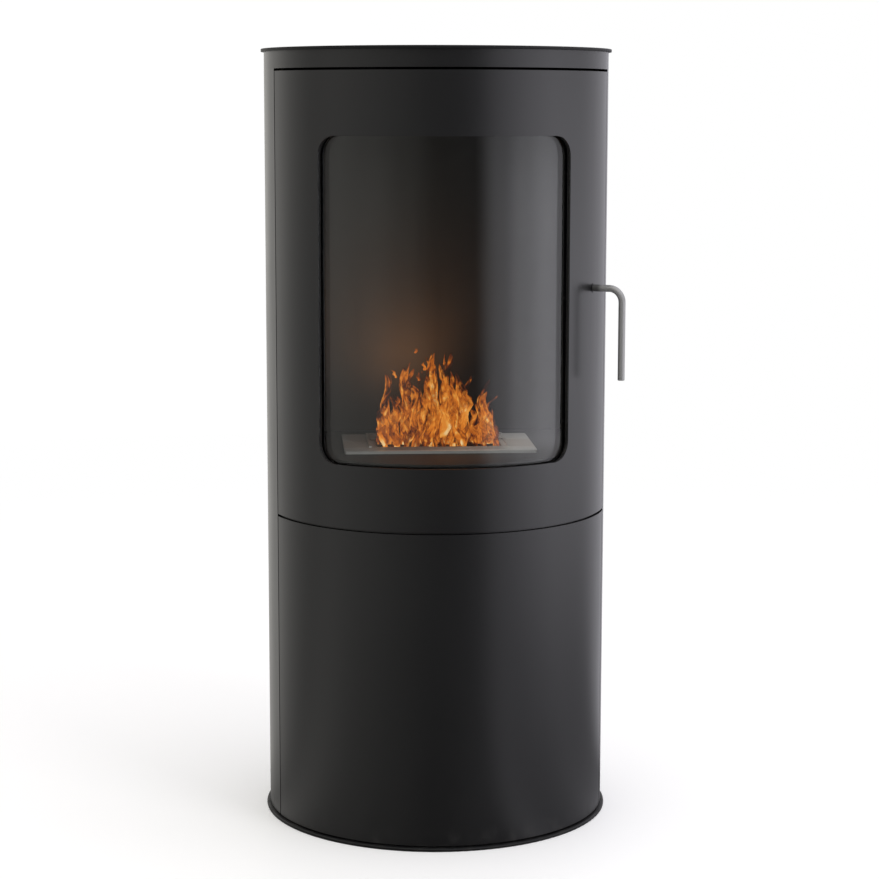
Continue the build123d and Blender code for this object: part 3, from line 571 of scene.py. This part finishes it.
finishes = {
    "black_steel": paintStove("blackPowderCoat", stovePaint),
    "firebox_black": paintFirebox(fireboxPaint),
    "zinc_steel": plateZinc(zincPlate),
    "spring_steel": rollSpring(springStrip),
    "satin_steel": satinSteel(satinRod),
    "stainless": brushStainless(brushedSteel),
    "bush_brass": turnBrass(turnedBrass),
    "door_glass": clearGlass(paneGlass),
    "gasket_rope": knitRope(ropeFibre),
    "soft_bumper": mouldSilicone(siliconeStop),
    "catch_plastic": mouldCatch(mouldedCatch),
    "ceramic_wool": matWool(woolBlock),
}
# these nodes look different from the rest of their slot
plateCoat = paintStove("platePowderCoat", platePaint)
greasedPin = paintStove("greasedPin", pinGrease)
ownFinishes = {
    "base_plate": plateCoat,
    "top_plate": plateCoat,
    "top_hinge_pin": greasedPin,
    "middle_hinge_pin": greasedPin,
    "base_hinge_pin": greasedPin,
}


# each CAD node takes the finish of the slot that its own material names, or one of its own
def finishNodes():
    for name, node in cadNodes.items():
        for place, material in enumerate(node.data.materials):
            slot = material.name.split(".")[0]
            node.data.materials[place] = ownFinishes.get(name, finishes[slot])


finishNodes()
print("finishes made")


# helpers for new pieces: start clean, name, select, apply, join, and dress with the finish of a slot, smooth
# shading and a body
def freshStart():
    if bpy.context.object and bpy.context.object.mode != "OBJECT":
        bpy.ops.object.mode_set(mode="OBJECT")
    bpy.ops.object.select_all(action="DESELECT")


def added(name):
    piece = bpy.context.object
    piece.name = name
    piece.data.name = name
    return piece


def only(*pieces):
    freshStart()
    for piece in pieces:
        piece.select_set(True)
    bpy.context.view_layer.objects.active = pieces[0]


def settle(piece):
    only(piece)
    bpy.ops.object.transform_apply(location=True, rotation=True, scale=True)


def joined(name, pieces):
    only(*pieces)
    bpy.ops.object.join()
    return added(name)


def dress(piece, body, slot, smoothAngle):
    piece.data.materials.append(finishes[slot])
    only(piece)
    bpy.ops.object.shade_smooth_by_angle(angle=math.radians(smoothAngle))
    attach(piece, body)


# knitted rope between glass and door skin: where the window is, the rope's section, and how it is knitted
gasketRope = {
    "glassRadius": 0.1938,
    "skinRadius": 0.198,
    "clearance": 0.0001,
    "windowHalfAngle": 44.75,
    "windowBottom": 0.4375,
    "windowTop": 0.8025,
    "setback": 0.0004,
    "width": 0.0068,
    "corner": 0.0265,
    "squareness": 0.7,
    "weld": 0.00002,
    "sides": 24,
    "rings": 1530,
    "plies": 3,
    "plyPitch": 0.0052,
    "relief": 0.00022,
}


# a point of the gasket's run: along it, its place round the window, and which way is outwards
def gasketRun(along, halfWidth, halfHeight, corner):
    flatX, flatZ = halfWidth - corner, halfHeight - corner
    quarter = math.pi / 2 * corner
    for turn in range(4):
        straight = 2 * (flatX if turn % 2 == 0 else flatZ)
        angle = turn * math.pi / 2
        outward = Vector((math.sin(angle), -math.cos(angle)))
        forward = Vector((math.cos(angle), math.sin(angle)))
        middle = outward * (halfHeight if turn % 2 == 0 else halfWidth)
        if along <= straight:
            return middle + forward * (along - straight / 2), outward
        along -= straight
        if along <= quarter:
            swing = along / corner
            hub = middle + forward * straight / 2 - outward * corner
            outward = Vector((math.sin(angle + swing), -math.cos(angle + swing)))
            return hub + outward * corner, outward
        along -= quarter
    return gasketRun(0, halfWidth, halfHeight, corner)


# turns a round section into a squared oval, as of a rope that is pressed between glass and sheet
def squared(value, power):
    return math.copysign(abs(value) ** power, value)


# a straight knitted tube that is laid round the window and bent onto the drum
def layGasket(look):
    radius = (look["glassRadius"] + look["skinRadius"]) / 2
    inset = look["setback"] + look["width"] / 2
    halfWidth = radius * math.radians(look["windowHalfAngle"]) + inset
    halfHeight = (look["windowTop"] - look["windowBottom"]) / 2 + inset
    middle = (look["windowTop"] + look["windowBottom"]) / 2
    length = 4 * (halfWidth + halfHeight) + (2 * math.pi - 8) * look["corner"]
    freshStart()
    bpy.ops.mesh.primitive_cylinder_add(
        vertices=look["sides"],
        radius=0.5,
        depth=1 / look["rings"],
        end_fill_type="NOTHING",
        location=(0.5 / look["rings"], 0, 0),
        rotation=(0, math.pi / 2, 0),
    )
    rope = added("gasketRope")
    settle(rope)
    rounds = rope.modifiers.new("rounds", "ARRAY")
    rounds.count = look["rings"]
    rounds.use_merge_vertices = True
    rounds.merge_threshold = 0.1 / look["rings"]
    bpy.ops.object.modifier_apply(modifier=rounds.name)
    knit = rope.data.uv_layers[0]
    knit.name = "knit"
    turns = round(length / look["plyPitch"])
    reach = max(vertex.co.x for vertex in rope.data.vertices)
    for face in rope.data.polygons:
        angles = [math.atan2(rope.data.vertices[v].co.z, rope.data.vertices[v].co.y) for v in face.vertices]
        for loop, vertex, angle in zip(face.loop_indices, face.vertices, angles):
            wrapped = angle + 2 * math.pi if max(angles) - angle > math.pi else angle
            along = rope.data.vertices[vertex].co.x / reach * turns
            knit.data[loop].uv = (along, wrapped * look["plies"] / (2 * math.pi))
    thick = look["skinRadius"] - look["glassRadius"] - 2 * look["clearance"]
    for vertex in rope.data.vertices:
        share = vertex.co.x / reach
        angle = math.atan2(vertex.co.z, vertex.co.y)
        along = 2 * math.pi * share * turns
        around = angle * look["plies"]
        ply = max(math.sin(along + around), math.sin(along - around))
        fat = 1 - look["relief"] * (1 - ply) / thick
        across = squared(math.cos(angle), look["squareness"]) * look["width"] / 2 * fat
        out = squared(math.sin(angle), look["squareness"]) * thick / 2 * fat
        spot, outward = gasketRun(share % 1 * length, halfWidth, halfHeight, look["corner"])
        spot = spot + outward * across
        azimuth = spot.x / radius
        vertex.co = (math.sin(azimuth) * (radius + out), -math.cos(azimuth) * (radius + out), middle + spot.y)
    only(rope)
    bpy.ops.object.mode_set(mode="EDIT")
    bpy.ops.mesh.select_all(action="SELECT")
    bpy.ops.mesh.remove_doubles(threshold=look["weld"])
    bpy.ops.mesh.normals_make_consistent(inside=False)
    bpy.ops.object.mode_set(mode="OBJECT")
    dress(rope, "upper_door", "gasket_rope", 60)
    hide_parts("glass_gasket")


layGasket(gasketRope)

frameNuts = {
    "sideAngles": 48.627,
    "sideHeights": (0.480, 0.620, 0.760),
    "endAngles": (-30, 0, 30),
    "endHeights": (0.4245, 0.8155),
    "frameRadius": 0.1883,
    "setback": 0.00005,
    "acrossCorners": 0.0035,
    "thickness": 0.003,
    "bore": 0.0020,
    "chamfer": 0.0005,
    "chamferDepth": 0.00022,
    "lead": 0.0001,
    "leadDepth": 0.0002,
    "turnStep": 0.4,
}


# one hexagon nut, flat on the origin: chamfered on both faces, with a lead-in at its bore
def turnNut(look):
    freshStart()
    bpy.ops.mesh.primitive_cylinder_add(vertices=48, radius=look["acrossCorners"], depth=look["thickness"])
    nut = bpy.context.object
    flat = look["acrossCorners"] * math.cos(math.pi / 6)
    low, high = -look["thickness"] / 2, look["thickness"] / 2
    bpy.context.tool_settings.mesh_select_mode = (False, False, True)
    bpy.ops.object.mode_set(mode="EDIT")
    # hexagon: six cuts, each closing its face
    for side in range(6):
        angle = math.radians(60 * side)
        outward = (math.cos(angle), math.sin(angle), 0)
        edge = (outward[0] * flat, outward[1] * flat, 0)
        bpy.ops.mesh.select_all(action="SELECT")
        bpy.ops.mesh.bisect(plane_co=edge, plane_no=outward, use_fill=True, clear_outer=True)
    bpy.ops.object.mode_set(mode="OBJECT")
    for face in nut.data.polygons:
        face.select = abs(face.normal.z) > 0.9
    bpy.ops.object.mode_set(mode="EDIT")
    bpy.ops.mesh.inset(thickness=look["chamfer"], depth=look["chamferDepth"])
    bpy.ops.mesh.inset(thickness=flat - look["bore"] - look["chamfer"] - look["lead"], depth=0)
    bpy.ops.mesh.inset(thickness=look["lead"], depth=-look["leadDepth"])
    bpy.ops.object.mode_set(mode="OBJECT")
    bpy.context.tool_settings.mesh_select_mode = (True, False, False)
    # the chamfers stand proud so far, so the whole nut is pressed back to its thickness
    press = look["thickness"] / (look["thickness"] + 2 * look["chamferDepth"])
    for vertex in nut.data.vertices:
        vertex.co.z = max(low, min(high, vertex.co.z * press))
    return nut


def fitNuts(look):
    spots = [(side * look["sideAngles"], height) for side in (-1, 1) for height in look["sideHeights"]]
    spots += [(angle, height) for angle in look["endAngles"] for height in look["endHeights"]]
    radius = look["frameRadius"] - look["setback"] - look["thickness"] / 2
    pattern = turnNut(look)
    nuts = []
    for count, (azimuth, height) in enumerate(spots):
        nut = pattern.copy()
        nut.data = pattern.data.copy()
        bpy.context.scene.collection.objects.link(nut)
        turn = math.radians(azimuth)
        upright = Matrix.Rotation(math.pi / 2, 4, "X") @ Matrix.Rotation(look["turnStep"] * count, 4, "Z")
        nut.matrix_world = (
            Matrix.Translation((math.sin(turn) * radius, -math.cos(turn) * radius, height))
            @ Matrix.Rotation(turn, 4, "Z")
            @ upright
        )
        settle(nut)
        nuts.append(nut)
    bpy.data.objects.remove(pattern)
    dress(joined("frameNuts", nuts), "upper_door", "zinc_steel", 25)
    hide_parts("frame_nuts")


fitNuts(frameNuts)
print("glazing dressed")


doorBumpers = {
    "azimuth": 74.43,
    "stopRadius": 0.189,
    "heights": (0.060, 0.335, 0.400, 0.850),
    "radius": 0.0035,
    "proud": 0.0006,
    "rim": 0.00022,
}


# domed silicone dots on the stop
def stickBumpers(look):
    dots = []
    turn = math.radians(look["azimuth"])
    for height in look["heights"]:
        freshStart()
        middle = look["stopRadius"] + look["proud"] / 2
        bpy.ops.mesh.primitive_cylinder_add(
            vertices=32,
            radius=look["radius"],
            depth=look["proud"],
            location=(math.sin(turn) * middle, -math.cos(turn) * middle, height),
            rotation=(math.pi / 2, 0, turn),
        )
        dot = bpy.context.object
        bevel = dot.modifiers.new("softRim", "BEVEL")
        bevel.width = look["rim"]
        bevel.segments = 3
        bevel.angle_limit = math.radians(40)
        bpy.ops.object.modifier_apply(modifier=bevel.name)
        settle(dot)
        dots.append(dot)
    dress(joined("doorBumperDots", dots), "stove", "soft_bumper", 50)
    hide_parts("door_bumpers")


stickBumpers(doorBumpers)

woolFilling = {
    "cuts": 34,
    "fray": 0.0011,
    "frayLevel": 0.9,
    "grainSize": 0.006,
    "inset": 0.0004,
    "clearance": 0.00002,
}


# ceramic wool: a soft block, pulled in at its edges, with a matted top
def packWool(look):
    low, high = (Vector(corner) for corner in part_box("ceramic_wool"))
    middle, size = (low + high) / 2, high - low
    freshStart()
    bpy.ops.mesh.primitive_cube_add(size=1, location=middle, scale=size)
    wool = added("woolFilling")
    settle(wool)
    bpy.ops.object.mode_set(mode="EDIT")
    bpy.ops.mesh.select_all(action="SELECT")
    bpy.ops.mesh.subdivide(number_cuts=look["cuts"])
    bpy.ops.object.mode_set(mode="OBJECT")
    texture = bpy.data.textures.new("woolFray", "CLOUDS")
    texture.noise_scale = look["grainSize"]
    texture.noise_depth = 3
    fray = wool.modifiers.new("fray", "DISPLACE")
    fray.texture = texture
    fray.strength = look["fray"]
    fray.mid_level = look["frayLevel"]
    bpy.ops.object.modifier_apply(modifier=fray.name)
    for vertex in wool.data.vertices:
        for axis in range(3):
            least, most = low[axis] + look["inset"], high[axis] - look["clearance"]
            vertex.co[axis] = max(least, min(most, vertex.co[axis]))
    dress(wool, "burner", "ceramic_wool", 80)
    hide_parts("ceramic_wool")


packWool(woolFilling)
print("soft pieces made")


# the fire stands in the slot: rows of tongues under one outline, with licks at the foot and torn wisps above.
# A pair of numbers is the least and the most that the dice give, and a spread goes both ways.
flameLook = {
    "foot": 0.4428,
    "slotMiddleY": -0.041,
    "rowGap": 0.021,
    "rowInset": (0.0065, 0.001),
    "rings": 16,
    "sides": 12,
    "shoulder": 0.62,
    "belly": (0.8, 1.5),
    "taper": 0.6,
    "waves": 14,
    "waveDepth": 0.2,
    "thinnest": 0.02,
    "flatness": (0.5, 0.75),
    "twist": (5.0, 9.0),
    "sway": 0.8,
    "warmth": -0.06,
    "warmthRange": 0.13,
    "tongueHeight": (0.86, 1.1),
    "tongueHalfWidth": (0.0054, 0.0088),
    "tongueSpread": (0.0025, 0.003),
    "tongueSlimness": 0.2,
    "tongueLean": 0.09,
    "leanReach": 0.06,
    "dullHalfWidth": (0.0055, 0.007),
    "dullBehind": 0.004,
    "dullLean": 0.001,
    "dullWarmth": -0.29,
    "lickHeight": (0.012, 0.034),
    "lickHalfWidth": 0.0034,
    "lickSpread": (0.002, 0.004),
    "lickLean": 0.004,
    "wispHeight": (0.007, 0.01),
    "wispHalfWidth": 0.0022,
    "wispSpread": 0.01,
    "wispLean": 0.004,
    "wispWarmth": -0.26,
    "ragged": 0.0026,
    "raggedSize": 0.009,
    "streak": 92,
    "footReach": (0.012, 0.003),
    "lowReach": (0.035, 0.008),
    "tipReach": (0.45, 1.0),
    "strength": 1.0,
    "seed": 11,
}
# how warm the fire is, and its colour there
flameColours = [
    (0.46, (0.070, 0.013, 0.005)),
    (0.54, (0.23, 0.043, 0.008)),
    (0.61, (0.50, 0.120, 0.012)),
    (0.70, (0.78, 0.215, 0.020)),
    (0.84, (0.95, 0.40, 0.070)),
    (1.0, (1.0, 0.76, 0.40)),
]
# outline of the fire: along the slot, height
fireOutline = [
    (-0.077, 0.018),
    (-0.071, 0.032),
    (-0.064, 0.048),
    (-0.056, 0.064),
    (-0.049, 0.058),
    (-0.041, 0.056),
    (-0.032, 0.070),
    (-0.022, 0.078),
    (-0.012, 0.094),
    (-0.003, 0.104),
    (0.006, 0.102),
    (0.014, 0.088),
    (0.024, 0.080),
    (0.031, 0.082),
    (0.037, 0.040),
    (0.043, 0.040),
    (0.049, 0.066),
    (0.057, 0.067),
    (0.063, 0.034),
    (0.073, 0.018),
]
# dull red tongues that stand out over it: along the slot, height
dullTongues = [
    (-0.058, 0.088),
    (-0.04, 0.103),
    (-0.035, 0.088),
    (-0.008, 0.114),
    (0.012, 0.106),
    (0.023, 0.092),
    (0.055, 0.074),
]
# scraps that have torn off over the peaks: along the slot, height of their lower end
wispSpots = [(-0.027, 0.108), (-0.011, 0.094), (-0.017, 0.088), (-0.023, 0.076), (-0.049, 0.078)]
# rows from the back: how many gaps behind the slot's middle, share of the outline's height, and what is in it
fireRows = [
    {"name": "fireRear", "behind": 0.8, "share": 1.0, "tongues": 16, "dull": dullTongues, "licks": 7},
    {"name": "fireMiddle", "behind": 0, "share": 0.95, "tongues": 16, "dull": [], "licks": 8},
    {"name": "fireFront", "behind": -1, "share": 0.6, "tongues": 11, "dull": [], "licks": 12},
]


def fireHeight(x):
    for (left, low), (right, high) in zip(fireOutline, fireOutline[1:]):
        if left <= x <= right:
            return low + (high - low) * (x - left) / (right - left)
    return fireOutline[0][1]


# fire: amber streaks with pale cores and dark gaps that run up each tongue, thinning out to its tip
def burnFlame(look):
    r = newMaterial("flame")
    flow = r.node("ShaderNodeAttribute", {"attribute_name": "flow"}, out="Vector")
    rise = r.node("ShaderNodeAttribute", {"attribute_name": "rise"}, out="Fac")
    heat = r.node("ShaderNodeAttribute", {"attribute_name": "heat"}, out="Fac")
    streak = r.noise(r.stretched(flow, (1, 1, 0.34)), look["streak"], 2, 0.5, 0.7)
    curl = r.noise(r.stretched(flow, (1, 1, 0.55)), look["streak"] * 1.9, 1, 0.5, 0.9)
    spot = r.noise(r.stretched(flow, (1, 1, 0.5)), look["streak"] * 1.5, 1, 0.5, 0.8)
    body = r.noise(r.stretched(flow, (1, 1, 0.45)), look["streak"] * 0.45, 1)
    above = r.part(r.place(), "Z") - look["foot"]
    foot = r.smooth(above, *look["footReach"])
    low = r.smooth(above, *look["lowReach"])
    tip = r.smooth(rise, *look["tipReach"])
    dull = r.smooth(heat, -0.1, -0.16)
    thick = r.smooth(streak * 0.8 + curl * 0.3 - rise * 0.12 - foot * 0.035, 0.40, 0.60)
    core = r.smooth(spot, 0.52, 0.68) * (foot * 0.2 + 0.15)
    warmth = streak * 0.66 + curl * 0.24 + body * 0.33 + core - rise * 0.06
    warmth = warmth + heat + 0.05 - (1 - thick) * 0.14 - low * 0.1 - tip * 0.08
    return r.principled(
        Base_Color=(0, 0, 0, 1),
        Roughness=1.0,
        Specular_IOR_Level=0.0,
        Emission_Color=r.ramp(warmth, flameColours),
        Emission_Strength=look["strength"],
        Alpha=thick * (0.92 - tip * 0.25 - dull * 0.3),
    )


flameMaterial = burnFlame(flameLook)


# a plain tongue, one unit high and one wide: a disc drawn up ring by ring and closed at its tip
def plainTongue(look):
    freshStart()
    bpy.ops.mesh.primitive_circle_add(vertices=look["sides"], radius=1, fill_type="NGON")
    tongue = added("plainTongue")
    bpy.ops.object.mode_set(mode="EDIT")
    bpy.ops.mesh.select_all(action="SELECT")
    for ring in range(look["rings"]):
        bpy.ops.mesh.extrude_region_move(TRANSFORM_OT_translate={"value": (0, 0, 1 / look["rings"])})
    bpy.ops.mesh.merge(type="CENTER")
    bpy.ops.mesh.select_all(action="SELECT")
    bpy.ops.mesh.normals_make_consistent(inside=False)
    bpy.ops.object.mode_set(mode="OBJECT")
    return tongue


def spread(dice, most):
    return dice.uniform(-most, most)


# shapes a copy of it: belly, waist, sway and lean, and notes for the material how its fire flows
def shapeTongue(pattern, spot, height, halfWidth, lean, dice, coolest=flameLook["warmth"]):
    tongue = pattern.copy()
    tongue.data = pattern.data.copy()
    bpy.context.scene.collection.objects.link(tongue)
    phase, twist = dice.uniform(0, 6.28), dice.uniform(*flameLook["twist"])
    belly, flat = dice.uniform(*flameLook["belly"]), dice.uniform(*flameLook["flatness"])
    scatter = Vector((dice.uniform(0, 9), dice.uniform(0, 9), dice.uniform(0, 9)))
    tongue.data.attributes.new("flow", "FLOAT_VECTOR", "POINT")
    tongue.data.attributes.new("rise", "FLOAT", "POINT")
    tongue.data.attributes.new("heat", "FLOAT", "POINT")
    flow, rise, heat = (tongue.data.attributes[name] for name in ("flow", "rise", "heat"))
    warm = dice.uniform(coolest, coolest + flameLook["warmthRange"])
    for vertex in tongue.data.vertices:
        x, y, share = vertex.co
        wave = 1 + flameLook["waveDepth"] * math.sin(phase * 2 + share * flameLook["waves"])
        swell = (flameLook["shoulder"] + belly * share) * (1 - share) ** flameLook["taper"] * wave
        wide = halfWidth * max(flameLook["thinnest"], swell)
        sway = halfWidth * (math.sin(phase + share * twist) - math.sin(phase)) * share * flameLook["sway"]
        flow.data[vertex.index].vector = Vector((x * wide, y * wide * flat, share * height)) + scatter
        rise.data[vertex.index].value = share
        heat.data[vertex.index].value = warm
        offset = Vector((x * wide + sway + lean * share**2, y * wide * flat, height * share))
        vertex.co = Vector(spot) + offset
    return tongue


# a row of fire under the outline: tongues, dull ones that rise over them, and low licks in between
def fireRow(row, pattern, dice):
    tongues = []
    leftInset, rightInset = flameLook["rowInset"]
    left, right = fireOutline[0][0] + leftInset, fireOutline[-1][0] - rightInset
    rowY = flameLook["slotMiddleY"] + flameLook["rowGap"] * row["behind"]
    spreadX, spreadY = flameLook["tongueSpread"]
    for number in range(row["tongues"]):
        x = left + (right - left) * (number + 0.5) / row["tongues"] + spread(dice, spreadX)
        height = fireHeight(x) * row["share"] * dice.uniform(*flameLook["tongueHeight"])
        spot = (x, rowY + spread(dice, spreadY), flameLook["foot"])
        halfWidth = min(height * flameLook["tongueSlimness"], dice.uniform(*flameLook["tongueHalfWidth"]))
        lean = spread(dice, flameLook["tongueLean"]) * min(height, flameLook["leanReach"])
        tongues.append(shapeTongue(pattern, spot, height, halfWidth, lean, dice))
    for x, height in row["dull"]:
        spot = (x, rowY + flameLook["dullBehind"], flameLook["foot"])
        halfWidth, lean = dice.uniform(*flameLook["dullHalfWidth"]), flameLook["dullLean"]
        tongues.append(shapeTongue(pattern, spot, height, halfWidth, lean, dice, flameLook["dullWarmth"]))
    spreadX, spreadY = flameLook["lickSpread"]
    for number in range(row["licks"]):
        x = left + (right - left) * (number + 0.5) / row["licks"] + spread(dice, spreadX)
        spot = (x, rowY + spread(dice, spreadY), flameLook["foot"])
        height = min(fireHeight(x), dice.uniform(*flameLook["lickHeight"]))
        lean = spread(dice, flameLook["lickLean"])
        tongues.append(shapeTongue(pattern, spot, height, flameLook["lickHalfWidth"], lean, dice))
    finishFire(joined(row["name"], tongues))


def tornWisps(name, pattern, dice):
    wisps = []
    for x, low in wispSpots:
        rowY = flameLook["slotMiddleY"] + spread(dice, flameLook["wispSpread"])
        spot = (x, rowY, flameLook["foot"] + low)
        lean = spread(dice, flameLook["wispLean"])
        height, halfWidth = dice.uniform(*flameLook["wispHeight"]), flameLook["wispHalfWidth"]
        wisps.append(shapeTongue(pattern, spot, height, halfWidth, lean, dice, flameLook["wispWarmth"]))
    finishFire(joined(name, wisps))


def finishFire(fire):
    texture = bpy.data.textures.new(fire.name, "CLOUDS")
    texture.noise_scale = flameLook["raggedSize"]
    ragged = fire.modifiers.new("ragged", "DISPLACE")
    ragged.texture = texture
    ragged.strength = flameLook["ragged"]
    ragged.direction = "X"
    bpy.ops.object.modifier_apply(modifier=ragged.name)
    fire.data.materials.append(flameMaterial)
    bpy.ops.object.shade_smooth()
    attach(fire, "burner")
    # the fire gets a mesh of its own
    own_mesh(fire)


def lightFire():
    dice = random.Random(flameLook["seed"])
    pattern = plainTongue(flameLook)
    for row in fireRows:
        fireRow(row, pattern, dice)
    tornWisps("fireWisps", pattern, dice)
    bpy.data.objects.remove(pattern)


lightFire()
print("fire lit")


# the studio: a white room on a pale floor, which the object mirrors darker and brighter by direction
studio = {
    "floorRadius": 3.2,
    "floorTone": (0.8, 0.8, 0.8),
    "floorRoughness": 0.6,
    "lift": 0.2,
    "fadeReach": (0.9, 2.6),
    "overhead": 1.1,
    "overheadRise": (0.3, 0.6),
    "horizon": (0.06, -0.05),
    "warmTint": (1.02, 1.0, 0.955),
    "coolTint": (0.985, 0.97, 1.04),
    "tintTurn": (0.45, 0.65),
    "floorLevel": (0.2, 3.0),
    # two sides, as shares of a turn from behind, where the near floor and the room above are dimmer
    "leftFall": ((0.3, 0.38), (0.56, 0.5)),
    "leftShare": 0.55,
    "rightFall": ((0.56, 0.66), (0.9, 0.8)),
}
# brightness of the room round the object, from behind it (-180) by the left, the front (0) and the right
roomGlow = [
    (-180, 1.0),
    (-162, 1.1),
    (-147, 0.85),
    (-128, 0.72),
    (-108, 0.44),
    (-91, 0.30),
    (-72, 0.40),
    (-45, 0.36),
    (-20, 0.22),
    (0, 0.10),
    (26, 0.09),
    (45, 0.75),
    (62, 1.35),
    (80, 1.7),
    (100, 1.36),
    (118, 0.98),
    (140, 0.84),
    (180, 1.0),
]


# the room's glow in a direction, or at a place on the floor as seen from the object
def glowAround(r, direction, level):
    x = r.part(direction, "X")
    y = r.part(direction, "Y")
    turn = r.maths("ARCTAN2", x, 0 - y) + math.radians(cameraView["objectTurn"])
    share = r.maths("FRACT", turn / (2 * math.pi) + 0.5)
    most = max(glow for _, glow in roomGlow)
    stops = [((angle + 180) / 360, glow / most) for angle, glow in roomGlow]
    around = r.part(r.ramp(share, stops, "EASE"), 0) * most
    right = r.between(share, *studio["rightFall"])
    left = r.between(share, *studio["leftFall"])
    fall = (right + left * studio["leftShare"]) * (1 - level)
    tint = r.mixColour(r.smooth(share, *studio["tintTurn"]), studio["warmTint"], studio["coolTint"])
    return around * (1 - fall), tint


def lightWorld():
    world = bpy.data.worlds.new("studioRoom")
    bpy.context.scene.world = world
    r = Recipe(world)
    direction = r.node("ShaderNodeTexCoord", out="Generated")
    height = r.part(direction, "Z")
    level = r.maths("MAXIMUM", r.smooth(height, *studio["horizon"]), 0.5)
    room, tint = glowAround(r, direction, level)
    room = r.maths("MAXIMUM", room, r.smooth(height, *studio["overheadRise"]) * studio["overhead"])
    white = r.maths("MAXIMUM", r.ray("Camera"), r.ray("Transmission"))
    colour = r.mixColour(white, tint, (1.0, 1.0, 1.0))
    strength = r.maths("MAXIMUM", room, white)
    background = r.node("ShaderNodeBackground", None, {"Color": colour, "Strength": strength})
    r.finish(background, "ShaderNodeOutputWorld")


# pale floor: the camera sees the shadow and how it fades into white, and a mirror sees the room's glow
def layFloor():
    freshStart()
    bpy.ops.mesh.primitive_circle_add(vertices=96, radius=studio["floorRadius"], fill_type="NGON")
    floor = added("paleFloor")
    r = newMaterial("paleFloor")
    place = r.place()
    away = r.vectors("LENGTH", place, out="Value")
    gloss = studio["floorRoughness"] + r.swing(r.noise(place, 300, 2), 0.1)
    sockets = {"Base Color": asColour(studio["floorTone"]), "Roughness": gloss, "Specular IOR Level": 0.2}
    lit = r.node("ShaderNodeBsdfPrincipled", None, sockets)
    seen = r.ray("Camera")
    white = (1, 1, 1, 1)
    lift = r.emission(white, r.maths("MAXIMUM", seen, r.ray("Transmission")) * studio["lift"])
    lifted = r.node("ShaderNodeAddShader", None, {0: lit, 1: lift})
    faded = r.smooth(away, *studio["fadeReach"]) * seen
    shown = r.node("ShaderNodeMixShader", None, {0: faded, 1: lifted, 2: r.emission(white, 1.0)})
    level = r.smooth(away, *studio["floorLevel"]) * 0.5 + 0.2
    glow, tint = glowAround(r, place, level)
    mirrored = r.emission(tint, glow)
    look = r.node("ShaderNodeMixShader", None, {0: r.ray("Glossy"), 1: shown, 2: mirrored})
    floor.data.materials.append(r.finish(look))


lamps = [
    {
        "name": "overheadSoftbox",
        "place": (0.5, -0.5, 2.6),
        "aim": (0, 0, 0.4),
        "size": (1.8, 1.8),
        "power": 9,
    },
    {
        "name": "rightSoftbox",
        "place": (1.6, -2.0, 0.9),
        "aim": (0, 0, 0.5),
        "size": (1.0, 1.2),
        "power": 24,
    },
]


# hangs a light at its place, turned to its aim, and hides it from reflections
def hangLight(data, lamp):
    data.energy = lamp["power"]
    light = bpy.data.objects.new(lamp["name"], data)
    bpy.context.scene.collection.objects.link(light)
    light.location = lamp["place"]
    light.rotation_euler = (Vector(lamp["aim"]) - light.location).to_track_quat("-Z", "Y").to_euler()
    light.visible_glossy = False


def hangLamp(lamp):
    data = bpy.data.lights.new(lamp["name"], "AREA")
    data.shape = "RECTANGLE"
    data.size, data.size_y = lamp["size"]
    hangLight(data, lamp)


# in the firebox: the fire's glow on the back wall, and a pale one down on the right half of the burner
innerGlows = [
    {
        "name": "fireGlow",
        "place": (-0.03, 0.003, 0.518),
        "aim": (-0.045, 0.1, 0.578),
        "cone": 130,
        "power": 0.74,
        "colour": (1.0, 0.48, 0.22),
    },
    {
        "name": "burnerGlow",
        "place": (0.115, -0.045, 0.75),
        "aim": (0.1, -0.045, 0.443),
        "cone": 52,
        "power": 3.0,
        "colour": (1.0, 0.975, 0.95),
    },
]


def hangGlow(glow):
    data = bpy.data.lights.new(glow["name"], "SPOT")
    data.color = glow["colour"]
    data.shadow_soft_size = 0.02
    data.spot_size = math.radians(glow["cone"])
    data.spot_blend = 1.0
    hangLight(data, glow)


lightWorld()
layFloor()
for lamp in lamps:
    hangLamp(lamp)
for glow in innerGlows:
    hangGlow(glow)
bpy.context.scene.view_settings.view_transform = "Standard"
print("studio lit")
